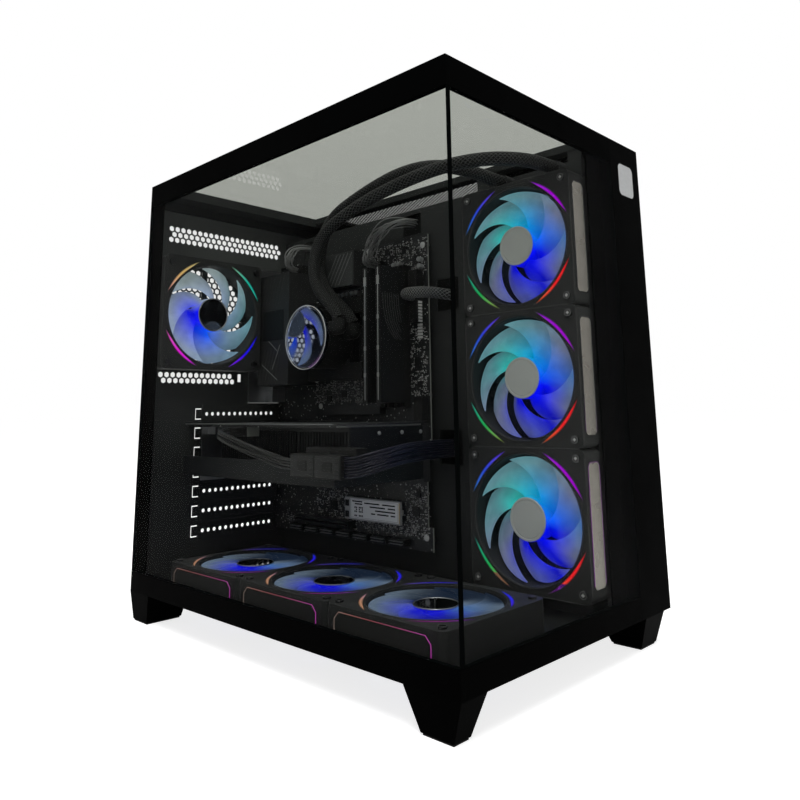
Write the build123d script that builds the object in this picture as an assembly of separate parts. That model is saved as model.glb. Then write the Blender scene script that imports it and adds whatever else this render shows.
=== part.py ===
from build123d import *
import math
import os

# Glass-sided desktop computer tower with two chambers, in millimetres.
# Bench frame: x from the left face, y from the front face, z from the underside of the base.
# Every piece is moved at the end so that the origin is at the bottom centre of the whole tower.

# Sheet, glass and clearances
glass = 4.0
sheet = 1.2
panel_sheet = 1.0
seam = 0.3
clearance = 0.15
running_gap = 0.05

# Fans: seven of one pattern, three on the side, three in the base and one at the rear
fan_size = 120.0
fan_depth = 25.0
fan_corner = 6.0
fan_rim = 6.0
fan_count = 3
screw_inset = 7.5
screw_radius = 2.0
screw_head_radius = 3.4
screw_head_height = 1.6
motor_radius = 19.5
motor_thickness = 3.5
strut_width = 5.0
strut_count = 4
boss_radius = 4.0
boss_height = 10.0
shaft_radius = 1.5
hub_radius = 18.5
hub_wall = 1.6
hub_start = 4.3
hub_end = 22.0
blade_count = 7
blade_thickness = 1.6
blade_middle = 13.0
blade_root_chord = 19.0
blade_middle_chord = 26.0
blade_tip_chord = 33.0
blade_root_pitch = 40.0
blade_middle_pitch = 30.0
blade_tip_pitch = 22.0
blade_sweep = 50.0
blade_middle_sweep = 20.0
tip_gap = 2.0
bore_chamfer = 1.5

# Light arcs let into the corners of each fan face
arc_margin = 0.4
arc_half_span = 27.0
arc_width = 3.3
arc_depth = 1.4
arc_tip_trim = 2.0

# Mirror plate let into one side of each side and base fan
plate_length = 98.0
plate_width = 17.0
plate_chamfer = 5.0
plate_thickness = 1.2
plate_back = 3.6

# Main sizes of the case, built up from what stands inside it
main_room = 60.0
chamber_width = 99.0
base_fan_front = 36.7
base_fan_rear = 23.3
base_fan_left = 27.2
side_fan_front = 15.6
side_fan_bottom = 16.8
side_fan_top = 31.2
rear_fan_left = 6.5
rear_fan_bottom = 215.7
foot_height = 27.0
pad_height = 1.5

# Frame bands round the glass
skirt_height = 18.0
band_height = 23.0
rail_width = 16.0
front_rail_width = 12.0
rail_seat = 5.0
rear_rail_width = 28.0
rear_rail_height = 10.0
middle_rail_width = 13.0
middle_rail_height = 7.0
middle_rail_lap = 1.15
column_width = 52.7
column_wall = 2.0
column_depth = 14.0
stile_width = 20.0
stile_thickness = 1.5
stile_gap = 0.5

# Thumbscrews and the tabs that they hold
tab_width = 13.0
tab_height = 16.0
tab_low = 32.0
tab_from_top = 40.0
thumb_head_radius = 4.5
thumb_head_length = 6.0
thumb_shank_radius = 1.6
thumb_shank_length = 5.0

# Vents
hex_pitch = 7.0
hex_flats = 5.4
upper_vent_columns = 21
upper_vent_rows = 3
upper_vent_left = 25.0
upper_vent_drop = 42.0
lower_vent_columns = 13
lower_vent_rows = 2
lower_vent_left = 20.0
lower_vent_gap = 5.0
slot_vent_width = 4.5
slot_vent_bar = 4.5
panel_vent_height = 42.0
panel_vent_rows = 7
panel_vent_columns = 11
panel_vent_gap = 8.0

# Motherboard
board_width = 305.0
board_depth = 244.0
board_thickness = 1.6
board_lift = 13.3
board_headroom = 63.5
board_front_gap = 39.4
standoff_height = 6.4
standoff_radius = 2.8
notch_depth = 6.0
notch_bottom = 22.0
notch_top = 98.0
standoff_rows = (10.2, 144.0, 294.5)
standoff_columns = (6.4, 78.7, 233.7)

# Cable slots in the middle wall, measured from the board's edges
slot_near = 4.0
slot_far = 32.0
card_slot_low = 12.0
card_slot_high = 44.0
loom_slot_low = 226.0
loom_slot_high = 258.0
header_slot_near = 16.0
header_slot_far = 41.0
processor_slot_near = 36.0
processor_slot_far = 60.0
slot_rise = 5.0
slot_reach = 27.0
tray_over_slot = 4.5

# Blocks on the board: front, rear, low and high edges from its corner, then height
main_plug = (6.0, 17.0, 216.0, 268.0, 11.0)
processor_plug = (190.0, 208.0, 289.0, 300.0, 11.0)
header_plug = (62.0, 70.0, 276.0, 286.0, 7.0)
drive_plug = (3.0, 14.0, 121.0, 143.0, 9.0)
edge_plug = (30.0, 50.0, 3.0, 9.0, 8.0)
edge_plug_pitch = 26.0
edge_plug_count = 7
top_cooler = (88.0, 140.0, 262.0, 300.0, 20.0)
top_cooler_fins = 6
top_cooler_groove = 2.2
rear_cover = (174.0, 230.5, 160.0, 286.0, 40.0)
lower_plate = (2.0, 70.0, 64.0, 118.0, 10.0)
upper_plate = (62.0, 150.0, 127.0, 136.5, 8.0)

# Expansion slots
slot_pitch = 20.32
slot_count = 7
slot_first = 7.8
slot_window_height = 14.5
slot_window_near = 7.0
slot_window_length = 92.5
cover_margin = 1.5
cover_dots = 13
cover_dot_radius = 2.0
cover_height = 18.4
hook_from_board = 109.6
hook_width = 7.6
hook_half_height = 6.0
hook_slit = 1.2

# Rear sockets of the board
socket_field_low = 141.5
socket_field_high = 299.5
socket_field_width = 43.0
socket_depth = 15.0
socket_wall = 1.2
usb_width = 13.2
usb_height = 5.8
net_width = 12.0
net_height = 9.0
jack_radius = 3.1
jack_pitch = 14.0
socket_cavity = 10.0
usb_lifts = (9.0, 20.0)
usb_heights = (86.0, 64.0)
net_lift = 24.0
net_up = 36.0
jack_lift = 12.0
jack_up = 8.0
jack_count = 2
display_lift = 10.0
display_up = 118.0
display_width = 14.4
display_height = 4.8

# Cooler
pump_up = 207.5
pump_from_rear = 116.0
pump_radius = 32.0
pump_length = 36.0
cap_radius = 34.5
cap_length = 4.0
cold_plate = 88.0
cold_plate_thickness = 4.0
socket_height = 8.0
cpu_socket = 56.0
tube_diameter = 12.5
fitting_radius = 7.4
fitting_length = 14.0
pump_arm_length = 9.0
front_arm = (8.0, 8.0)
rear_arm = (27.0, 4.0)
plate_notch = 17.6
plate_notch_width = 52.8
radiator_thickness = 27.0
tank_length = 15.0
tank_lip = 2.5
rail_strip = 14.0
port_lead = 18.35
front_port_y = 38.0
rear_port_y = 96.0

# Memory, heat sinks, storage
dimm_pitch = 9.2
dimm_count = 4
dimm_front = 28.8
dimm_length = 133.4
dimm_slot_length = 142.0
dimm_slot_width = 6.4
dimm_slot_height = 9.0
dimm_height = 42.0
dimm_board = 1.3
dimm_body = 6.2
dimm_bottom = 138.0
drive_length = 80.0
drive_width = 22.0
drive_thickness = 3.4
drive_lift = 3.0
drive_up = 21.5
drive_front = 37.0
drive_socket_length = 6.0
drive_post_width = 5.0
drive_post_inset = 1.0

# Graphics card
card_length = 245.0
card_width = 109.0
card_thickness = 52.0
card_wall = 2.0
card_above_slot = 10.2
card_fan_radius = 43.0
card_fan_hub = 15.0
card_fan_blades = 9
card_fan_pitch = 108.0
card_fan_first = 60.0
card_fan_depth = 10.0
card_blade_scale = 0.55
card_opening_gap = 2.0
card_board = 1.6
backplate = 1.5
fin_pitch = 4.0
fin_thickness = 1.2
fin_base = 4.0
fin_inset = 18.0
front_fins = 18
side_wall_height = 19.0
finger_length = 83.0
finger_width = 7.0
finger_rear = 51.0
slot_block_width = 7.4
slot_block_height = 11.0
slot_groove = 8.0
slot_block_length = 89.0
card_slot_steps = (0, 3, 5)
card_inset = 4.0
card_socket_from_front = 146.0
card_socket_length = 24.0
card_socket_width = 14.0
card_socket_drop = 9.0
display_first = 14.0
display_pitch = 21.0
display_count = 4

# Power supply
supply_thickness = 86.0
supply_depth = 140.0
supply_height = 150.0
supply_wall = 1.2
supply_bottom = 6.0
supply_right_gap = 12.3
supply_fan_radius = 56.0
supply_vent_margin = 9.6
inlet_from_left = 31.0
switch_gap = 8.0
inlet_pins = ((-7.0, -2.5), (7.0, -2.5), (0.0, 2.5))
pin_half_width = 1.0
pin_half_height = 2.0
inlet_width = 28.0
inlet_height = 21.0
inlet_depth = 16.0
inlet_wall = 1.6
inlet_floor = 2.0
blade_pin_length = 9.0
switch_width = 12.0
switch_height = 19.0
switch_depth = 9.0
switch_wall = 1.4
rocker_tilt = 8.0
rocker_pin_radius = 1.5

# Control panel in the top
module_length = 92.0
module_width = 30.0
module_height = 14.0
module_front = 30.0
button_radius = 7.0
button_height = 4.6
button_travel = 1.2
button_sink = 0.2
button_from_front = 14.0
front_usb_from_rear = 12.0
front_socket_pitch = 21.0
small_usb_width = 8.8
small_usb_height = 3.2
front_jack_radius = 1.9
front_jack_gap = 13.0

# Feet: sizes on top, then how far each side draws in towards the floor
front_foot_width = 25.0
front_foot_length = 48.0
right_foot_width = 32.5
right_foot_inset = 13.0
rear_foot_width = 45.0
rear_foot_length = 36.0
foot_draw = 3.0
foot_taper = 6.0
foot_front_taper = 9.0
foot_back_taper = 12.0
pad_inset = 1.0

# Cables inside the case
route_step = 1.0
loom_diameter = 11.0
wire_diameter = 7.0
plug_lead = 22.0
plug_drop = 8.5
upper_plug_shift = 3.0
upper_plug_height = 13.3
card_plug_length = 20.0
card_plug_height = 8.0
card_plug_reach = 8.0
plug_width = 12.0
plug_height = 19.0
plug_length = 32.5

# Places worked out from the sizes above
fan_half = fan_size / 2
fan_bore = fan_half - fan_rim
rotor_tip = fan_bore - tip_gap
fan_row = fan_size * fan_count
floor_top = sheet
main_width = fan_size + main_room
base_row_end = base_fan_front + fan_row + base_fan_rear
board_row_end = side_fan_front + fan_size + board_front_gap + board_depth + panel_sheet
rear_inner = max(base_row_end, board_row_end)
case_depth = rear_inner + panel_sheet
tray_right = main_width + panel_sheet
case_width = tray_right + chamber_width + panel_sheet
panel_inner = case_width - panel_sheet
base_fan_top = floor_top + fan_depth
board_bottom = base_fan_top + board_lift
board_top = board_bottom + board_width
glass_under = max(side_fan_bottom + fan_row + side_fan_top, board_top + board_headroom)
body_height = glass_under + glass
band_bottom = body_height - band_height
tab_high = body_height - tab_from_top
tab_outer = case_depth + seam + sheet
head_seat = tab_outer + clearance
overall_depth = head_seat + thumb_head_length
board_face = main_width - standoff_height - board_thickness
slot_window_right = board_face - slot_window_near
slot_window_left = slot_window_right - slot_window_length
hook_left = board_face - hook_from_board
board_rear = rear_inner - panel_sheet
board_front = board_rear - board_depth
rail_bottom = glass_under - middle_rail_height
rail_rear = case_depth - rear_rail_width
column_left = case_width - column_width
strip_left = main_width + clearance + fan_depth
strip_right = strip_left + sheet
rail_left = strip_left - middle_rail_lap
rail_right = rail_left + middle_rail_width
tray_top = board_top + slot_reach + tray_over_slot
radiator_right = strip_right + radiator_thickness
pump_y = rear_inner - pump_from_rear
pump_z = board_bottom + pump_up
cold_plate_left = board_face - socket_height - cold_plate_thickness
pump_left = cold_plate_left - pump_length
cap_left = pump_left - cap_length
supply_right = panel_inner - supply_right_gap
supply_left = supply_right - supply_thickness
supply_front = rear_inner - supply_depth
supply_top = supply_bottom + supply_height
rear_fan_x = rear_fan_left + fan_half
rear_fan_z = rear_fan_bottom + fan_half
stile_right = glass + stile_thickness
rear_left = stile_right + stile_gap
port_z = side_fan_bottom + fan_row + tank_length / 2
shift = Location((-case_width / 2, -overall_depth / 2, foot_height))


def slot_z(number):
    """Height of an expansion slot, counted from the top."""
    return board_bottom + slot_first + slot_pitch * (slot_count - number)


card_top = slot_z(2) + card_above_slot
card_bottom = card_top - card_thickness
card_front = rear_inner - panel_sheet - card_length
card_right = board_face - slot_block_height - card_wall
card_left = card_right - card_width
card_board_top = card_top - backplate
card_board_bottom = card_board_top - card_board
card_socket_y = card_front + card_socket_from_front


def slab(x0, x1, y0, y1, z0, z1):
    """A block between two opposite corners."""
    middle = Pos((x0 + x1) / 2, (y0 + y1) / 2, (z0 + z1) / 2)
    return middle * Box(x1 - x0, y1 - y0, z1 - z0)


def rod(start, direction, radius, length):
    """A round bar from a point, along a direction."""
    return Plane(origin=start, z_dir=direction) * Pos(0, 0, length / 2) * Cylinder(radius, length)


def group(shapes):
    """Separate solids that share one node."""
    return Compound(children=[solid for shape in shapes for solid in shape.solids()])


def rectangle_hole(plane, u0, u1, v0, v1):
    """Outline of a rectangular hole in a sheet."""
    corners = [(u0, v0), (u1, v0), (u1, v1), (u0, v1)]
    return Wire.make_polygon([plane.from_local_coords(c) for c in corners])


def round_hole(plane, u, v, radius):
    """Outline of a round hole in a sheet."""
    return Wire.make_circle(radius, Plane(plane.from_local_coords((u, v)), z_dir=plane.z_dir))


def hex_hole(plane, u, v):
    """Outline of one hexagon of a vent."""
    reach = hex_flats / math.sqrt(3)
    turns = [math.radians(30 + 60 * k) for k in range(6)]
    corners = [(u + reach * math.cos(t), v + reach * math.sin(t)) for t in turns]
    return Wire.make_polygon([plane.from_local_coords(c) for c in corners])


def hex_row(plane, left, v, columns, odd):
    """One row of hexagons, every other row set half a pitch over."""
    start = left + (hex_pitch / 2 if odd else 0)
    return [hex_hole(plane, start + hex_pitch * k, v) for k in range(columns)]


def hex_disc(plane, u, v, radius):
    """Hexagons that fill a circle."""
    rise = hex_pitch * math.sqrt(3) / 2
    rows = int(radius / rise)
    columns = int(radius / hex_pitch) + 1
    holes = []
    for row in range(-rows, rows + 1):
        start = u + (hex_pitch / 2 if row % 2 else 0)
        for column in range(-columns, columns + 1):
            place = (start + hex_pitch * column, v + rise * row)
            if math.hypot(place[0] - u, place[1] - v) < radius - hex_pitch / 2:
                holes.append(hex_hole(plane, *place))
    return holes


def louvre_disc(plane, u, v, radius, hub):
    """Long slots that fill a circle and leave a round middle, as in a fan grille."""
    step = slot_vent_width + slot_vent_bar
    rows = int((radius - slot_vent_width) / step)
    holes = []
    for row in range(-rows, rows + 1):
        low = v + step * row - slot_vent_width / 2
        outer = math.sqrt(radius**2 - (abs(step * row) + slot_vent_width / 2) ** 2)
        edge = max(abs(step * row) - slot_vent_width / 2, 0)
        inner = math.sqrt(hub**2 - edge**2) if edge < hub else slot_vent_bar / 2
        for start, end in ((u - outer, u - inner), (u + inner, u + outer)):
            holes.append(rectangle_hole(plane, start, end, low, low + slot_vent_width))
    return holes


def perforated(plane, outline, holes, thickness):
    """A flat sheet on a plane, with holes right through it."""
    outer = Wire.make_polygon([plane.from_local_coords(p) for p in outline])
    return Solid.extrude(Face(outer, holes), plane.z_dir * thickness)


def screw_places():
    """The four corners of a fan's screw pattern, in the fan's own plane."""
    reach = fan_half - screw_inset
    return [(u * reach, v * reach) for u in (-1, 1) for v in (-1, 1)]


# Fans: the fan's own frame has z from its back to its front face, and x towards its mirror plate
def side_fan_plane(number):
    z = side_fan_bottom + fan_size * (number - 0.5)
    return Plane((strip_left, side_fan_front + fan_half, z), x_dir=(0, -1, 0), z_dir=(-1, 0, 0))


def base_fan_plane(number):
    y = base_fan_front + fan_size * (number - 0.5)
    return Plane((base_fan_left + fan_half, y, floor_top), x_dir=(-1, 0, 0), z_dir=(0, 0, 1))


rear_fan_plane = Plane((rear_fan_x, rear_inner, rear_fan_z), x_dir=(1, 0, 0), z_dir=(0, -1, 0))
fan_numbers = range(1, fan_count + 1)
plated_planes = [side_fan_plane(n) for n in fan_numbers] + [base_fan_plane(n) for n in fan_numbers]
fan_planes = plated_planes + [rear_fan_plane]


def crescent(turn, margin):
    """One light arc: the moon left between two circles, thinned and shortened by a margin."""
    outer = fan_half - arc_margin - margin
    inner = fan_half - arc_margin - arc_width + margin
    half_span = arc_half_span - (arc_tip_trim if margin else 0)
    chord = outer * math.cos(math.radians(half_span))
    offset = (outer**2 - inner**2) / (2 * (inner - chord))
    return Rot(0, 0, turn) * (Circle(outer) - Pos(-offset, 0) * Circle(inner + offset))


def arc_solids(margin):
    """The four light arcs of a fan face."""
    turns = [45 + 90 * k for k in range(4)]
    start = fan_depth - arc_depth
    return [Pos(0, 0, start) * extrude(crescent(t, margin), arc_depth) for t in turns]


def mirror_plate(margin, thickness):
    """The long eight-sided plate in a fan's side, its face flush with the frame."""
    outline = chamfer(Rectangle(plate_length, plate_width).vertices(), plate_chamfer)
    seat = Plane(
        (fan_half - thickness, 0, plate_back + plate_width / 2), x_dir=(0, 1, 0), z_dir=(1, 0, 0)
    )
    return seat * extrude(offset(outline, -margin), thickness)


def fan_frame(plated):
    """Square frame with its duct, struts, motor seat and bearing."""
    outline = RectangleRounded(fan_size, fan_size, fan_corner)
    body = extrude(outline - Circle(fan_bore), fan_depth)
    mouth = Pos(0, 0, fan_depth - bore_chamfer / 2)
    body -= mouth * Cone(fan_bore, fan_bore + bore_chamfer, bore_chamfer)
    reach = (motor_radius + fan_bore) / 2
    strut = Box(fan_bore - motor_radius + fan_rim, strut_width, motor_thickness)
    for k in range(strut_count):
        body += Rot(0, 0, 360 * k / strut_count) * Pos(reach, 0, motor_thickness / 2) * strut
    body += Pos(0, 0, motor_thickness / 2) * Cylinder(motor_radius, motor_thickness)
    body += Pos(0, 0, motor_thickness + boss_height / 2) * Cylinder(boss_radius, boss_height)
    bore = Cylinder(shaft_radius + running_gap, boss_height)
    body -= Pos(0, 0, motor_thickness + boss_height / 2) * bore
    for u, v in screw_places():
        body -= Pos(u, v, fan_depth / 2) * Cylinder(screw_radius + clearance, fan_depth)
    for arc in arc_solids(0):
        body -= arc
    if plated:
        body -= mirror_plate(0, plate_thickness)
    return body


def blade_section(radius, turn, chord, pitch, middle):
    """A thin slanted strip across a blade, facing outwards at a radius."""
    angle = math.radians(turn)
    out = (math.cos(angle), math.sin(angle), 0)
    along = (-math.sin(angle), math.cos(angle), 0)
    place = Plane((radius * out[0], radius * out[1], middle), x_dir=along, z_dir=out)
    return place * Rot(0, 0, pitch) * Rectangle(chord, blade_thickness)


def rotor(hub, tip, count, scale, start, end, shaft_length, middle):
    """Hub cup with its shaft and swept blades, turning about z."""
    half = (hub + tip) / 2
    stations = [
        (hub - hub_wall, 0, blade_root_chord * scale, blade_root_pitch),
        (half, blade_middle_sweep, blade_middle_chord * scale, blade_middle_pitch),
        (tip + hub_wall, blade_sweep, blade_tip_chord * scale, blade_tip_pitch),
    ]
    blade = loft([blade_section(*station, middle) for station in stations], ruled=True)
    blade = blade & Pos(0, 0, middle) * Cylinder(tip, tip)
    cup = Pos(0, 0, (start + end) / 2) * Cylinder(hub, end - start)
    hollow = Pos(0, 0, (start + end) / 2 - hub_wall) * Cylinder(hub - hub_wall, end - start)
    body = cup + [Rot(0, 0, 360 * k / count) * blade for k in range(count)]
    body -= hollow
    shaft = Cylinder(shaft_radius, shaft_length)
    return body + Pos(0, 0, end - hub_wall - shaft_length / 2) * shaft


def case_fan_rotor():
    shaft_length = hub_end - hub_wall - motor_thickness - seam
    return rotor(
        hub_radius, rotor_tip, blade_count, 1, hub_start, hub_end, shaft_length, blade_middle
    )


def screw(length):
    """A screw through a fan, its head on the fan's front face and its tip down -z."""
    head = Pos(0, 0, screw_head_height / 2) * Cylinder(screw_head_radius, screw_head_height)
    return head + Pos(0, 0, -length / 2) * Cylinder(screw_radius, length)


def thumbscrew():
    """A thumbscrew whose head stands out along +z from the sheet that it holds."""
    head = Pos(0, 0, thumb_head_length / 2) * Cylinder(thumb_head_radius, thumb_head_length)
    return head + Pos(0, 0, -thumb_shank_length / 2) * Cylinder(thumb_shank_radius, thumb_shank_length)


left_tab_x = stile_right + tab_width - tab_height / 2
right_tab_x = case_width - left_tab_x
tab_heights = (tab_low, tab_high)


def screws():
    """All screws of the case: four to a fan, and the thumbscrews of the side panels."""
    shapes = []
    for plane in fan_planes:
        for u, v in screw_places():
            shapes.append(plane * Pos(u, v, fan_depth) * screw(fan_depth + panel_sheet))
    for x in (left_tab_x, right_tab_x):
        for z in tab_heights:
            seat = Plane((x, head_seat, z), z_dir=(0, 1, 0))
            shapes.append(seat * thumbscrew())
    return group(shapes)


# Base and feet
floor_plane = Plane((0, 0, 0))


def base_floor():
    """Floor sheet with a grille under each base fan, notched for the front column."""
    notch = strip_right - seam
    outline = [
        (glass, glass),
        (notch, glass),
        (notch, column_depth + seam),
        (panel_inner, column_depth + seam),
        (panel_inner, rear_inner),
        (glass, rear_inner),
    ]
    holes = []
    for number in fan_numbers:
        middle = base_fan_plane(number).origin
        holes += louvre_disc(floor_plane, middle.X, middle.Y, fan_bore - tip_gap, motor_radius)
        for u, v in screw_places():
            holes.append(round_hole(floor_plane, middle.X + u, middle.Y + v, screw_radius + clearance))
    return perforated(floor_plane, outline, holes, sheet)


def base_skirts():
    """Low bands under the left and front glass."""
    left = slab(0, glass, 0, case_depth, 0, skirt_height)
    front = slab(glass, column_left - seam, 0, glass, 0, skirt_height)
    return group([left, front])


def foot(x0, x1, y0, y1, left, right, front, rear):
    """A foot that draws in towards the floor by a length on each side."""
    low = pad_height - foot_height
    top = Pos((x0 + x1) / 2, (y0 + y1) / 2, 0) * Rectangle(x1 - x0, y1 - y0)
    x0, x1, y0, y1 = x0 + left, x1 - right, y0 + front, y1 - rear
    bottom = Pos((x0 + x1) / 2, (y0 + y1) / 2, low) * Rectangle(x1 - x0, y1 - y0)
    pad = slab(x0 + pad_inset, x1 - pad_inset, y0 + pad_inset, y1 - pad_inset, -foot_height, low)
    return loft([top, bottom], ruled=True), pad


def feet_and_pads():
    """The four feet and their rubber pads."""
    right_end = case_width - right_foot_inset
    rear_start = case_depth - rear_foot_length
    rear_right = case_width - rear_foot_width
    taper = foot_taper
    front_tapers = (foot_front_taper, foot_back_taper)
    outlines = [
        (0, front_foot_width, 0, front_foot_length, foot_draw, taper, *front_tapers),
        (right_end - right_foot_width, right_end, 0, front_foot_length, taper, 0, *front_tapers),
        (0, rear_foot_width, rear_start, case_depth, foot_draw, taper, taper, foot_draw),
        (rear_right, case_width, rear_start, case_depth, taper, foot_draw, taper, foot_draw),
    ]
    pairs = [foot(*outline) for outline in outlines]
    return group([pair[0] for pair in pairs]), group([pair[1] for pair in pairs])


# Top of the case
def top_rails():
    """Flanges round the top, the seats under the top glass, and the bar between the glass and the lid."""
    seat_low = glass_under - rail_seat
    rear_low = glass_under - rear_rail_height
    inner_rear = case_depth - glass
    return group(
        [
            slab(0, glass, 0, case_depth, band_bottom, body_height),
            slab(glass, column_left - seam, 0, glass, band_bottom, body_height),
            slab(glass, panel_inner, inner_rear, case_depth, band_bottom, body_height),
            slab(glass, rail_width, glass, inner_rear, seat_low, glass_under),
            slab(rail_width, column_left - seam, glass, front_rail_width, seat_low, glass_under),
            slab(rail_width, panel_inner, rail_rear, inner_rear, rear_low, glass_under),
            slab(rail_left, rail_right, front_rail_width, rail_rear, rail_bottom, glass_under),
        ]
    )


def top_glass():
    """Tinted sheet let into the rails."""
    return slab(
        glass + seam, rail_right - seam, glass + seam, case_depth - glass - seam, glass_under, body_height
    )


deck_rear = case_depth - glass - seam
module_left = (rail_right + panel_inner - module_width) / 2


def top_deck():
    """Lid of the narrow chamber, cut out for the control panel."""
    deck = slab(rail_right, panel_inner, column_depth + seam, deck_rear, glass_under, body_height)
    deck += slab(rail_right, column_left - seam, glass, column_depth + seam, glass_under, body_height)
    return deck - slab(
        module_left - clearance,
        module_left + module_width + clearance,
        module_front - clearance,
        module_front + module_length + clearance,
        glass_under,
        body_height,
    )


module_bottom = body_height - module_height
module_x = module_left + module_width / 2
button_y = module_front + button_from_front
module_rear = module_front + module_length
front_usb = [module_rear - front_usb_from_rear - front_socket_pitch * k for k in range(2)]
front_small_usb = front_usb[1] - front_socket_pitch
front_jack = front_small_usb - front_jack_gap
button_bottom = body_height - button_sink - button_height


def control_module():
    """Block with the button's guide and the front sockets."""
    body = slab(
        module_left,
        module_left + module_width,
        module_front,
        module_front + module_length,
        module_bottom,
        body_height,
    )
    guide = button_bottom - button_travel - seam
    body -= rod((module_x, button_y, guide), (0, 0, 1), button_radius, module_height)
    floor = body_height - socket_cavity
    for y in front_usb:
        body -= slab(
            module_x - usb_height / 2,
            module_x + usb_height / 2,
            y - usb_width / 2,
            y + usb_width / 2,
            floor,
            body_height,
        )
    body -= slab(
        module_x - small_usb_height / 2,
        module_x + small_usb_height / 2,
        front_small_usb - small_usb_width / 2,
        front_small_usb + small_usb_width / 2,
        floor,
        body_height,
    )
    body -= rod((module_x, front_jack, floor), (0, 0, 1), front_jack_radius, module_height)
    return body


def power_button():
    """Round button in its guide."""
    return rod((module_x, button_y, button_bottom), (0, 0, 1), button_radius - running_gap, button_height)


# Glass and outer panels
glass_low = skirt_height + seam
glass_high = band_bottom - seam


def left_glass():
    return slab(0, glass, 0, case_depth, glass_low, glass_high)


def front_glass():
    return slab(glass + seam, column_left - seam, 0, glass, glass_low, glass_high)


def screw_tab(x_edge, x_end, z):
    """Bent tab behind the rear sheet, with a slot open on the side that faces inwards."""
    centre = left_tab_x if x_edge < x_end else right_tab_x
    low, high = sorted((x_edge, x_end))
    tab = slab(low, high, case_depth + seam, tab_outer, z - tab_height / 2, z + tab_height / 2)
    slot = thumb_shank_radius + clearance
    low, high = sorted((centre, x_end))
    tab -= slab(low, high, case_depth, tab_outer + seam, z - slot, z + slot)
    return tab - rod((centre, case_depth, z), (0, 1, 0), slot, sheet + seam * 2)


def left_panel_stile():
    """Upright bonded behind the rear edge of the left glass, with its screw tabs."""
    start = case_depth - stile_width
    stile = slab(glass, stile_right, start, tab_outer, glass_low, glass_high)
    for z in tab_heights:
        stile += screw_tab(glass, stile_right + tab_width, z)
    return stile


def right_panel():
    """Steel side with banks of slots over the radiator and the power supply."""
    plane = Plane((panel_inner, 0, 0), x_dir=(0, 1, 0), z_dir=(1, 0, 0))
    front = column_depth - column_wall
    outline = [(front, 0), (case_depth, 0), (case_depth, body_height), (front, body_height)]
    step = slot_vent_width + slot_vent_bar
    holes = []
    for row in range(panel_vent_rows):
        low = side_fan_bottom + row * (panel_vent_height + panel_vent_gap)
        for column in range(panel_vent_columns):
            y = side_fan_front + fan_rim * 2 + step * column
            holes.append(rectangle_hole(plane, y, y + slot_vent_width, low, low + panel_vent_height))
    supply_y = (supply_front + rear_inner) / 2
    supply_z = (supply_bottom + supply_top) / 2
    holes += louvre_disc(plane, supply_y, supply_z, supply_fan_radius, motor_radius)
    panel = perforated(plane, outline, holes, panel_sheet)
    for z in tab_heights:
        ear = slab(panel_inner, case_width, case_depth, tab_outer, z - tab_height / 2, z + tab_height / 2)
        panel += ear + screw_tab(case_width, case_width - stile_right - tab_width, z)
    return panel


def front_column():
    """Front cover of the narrow chamber, folded back behind the front glass."""
    front = slab(column_left, case_width, 0, column_wall, 0, body_height)
    left = slab(column_left, column_left + column_wall, 0, column_depth, 0, body_height)
    inner = slab(
        strip_right, column_left + column_wall, column_depth - column_wall, column_depth, 0, rail_bottom
    )
    right = slab(
        case_width - column_wall, case_width, 0, column_depth - column_wall - seam, 0, body_height
    )
    cap_rear = column_depth - column_wall - seam
    cap = slab(column_left, case_width, 0, cap_rear, glass_under, body_height)
    foot_cap = slab(column_left, case_width, 0, cap_rear, 0, sheet)
    foot_cap += slab(strip_right, column_left, glass + seam, column_depth, 0, sheet)
    return front + left + inner + right + cap + foot_cap


rear_plane = Plane((0, case_depth, 0), x_dir=(1, 0, 0), z_dir=(0, -1, 0))
field_left = board_face - socket_field_width
field_low = board_bottom + socket_field_low
field_high = board_bottom + socket_field_high


def hook_hole(z):
    """C-shaped slit beside an expansion slot."""
    left, right = hook_left, hook_left + hook_width
    high, slit = hook_half_height, hook_slit
    corners = [
        (left, z - high),
        (right, z - high),
        (right, z - high + slit),
        (left + slit, z - high + slit),
        (left + slit, z + high - slit),
        (right, z + high - slit),
        (right, z + high),
        (left, z + high),
    ]
    return Wire.make_polygon([rear_plane.from_local_coords(c) for c in corners])


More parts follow.
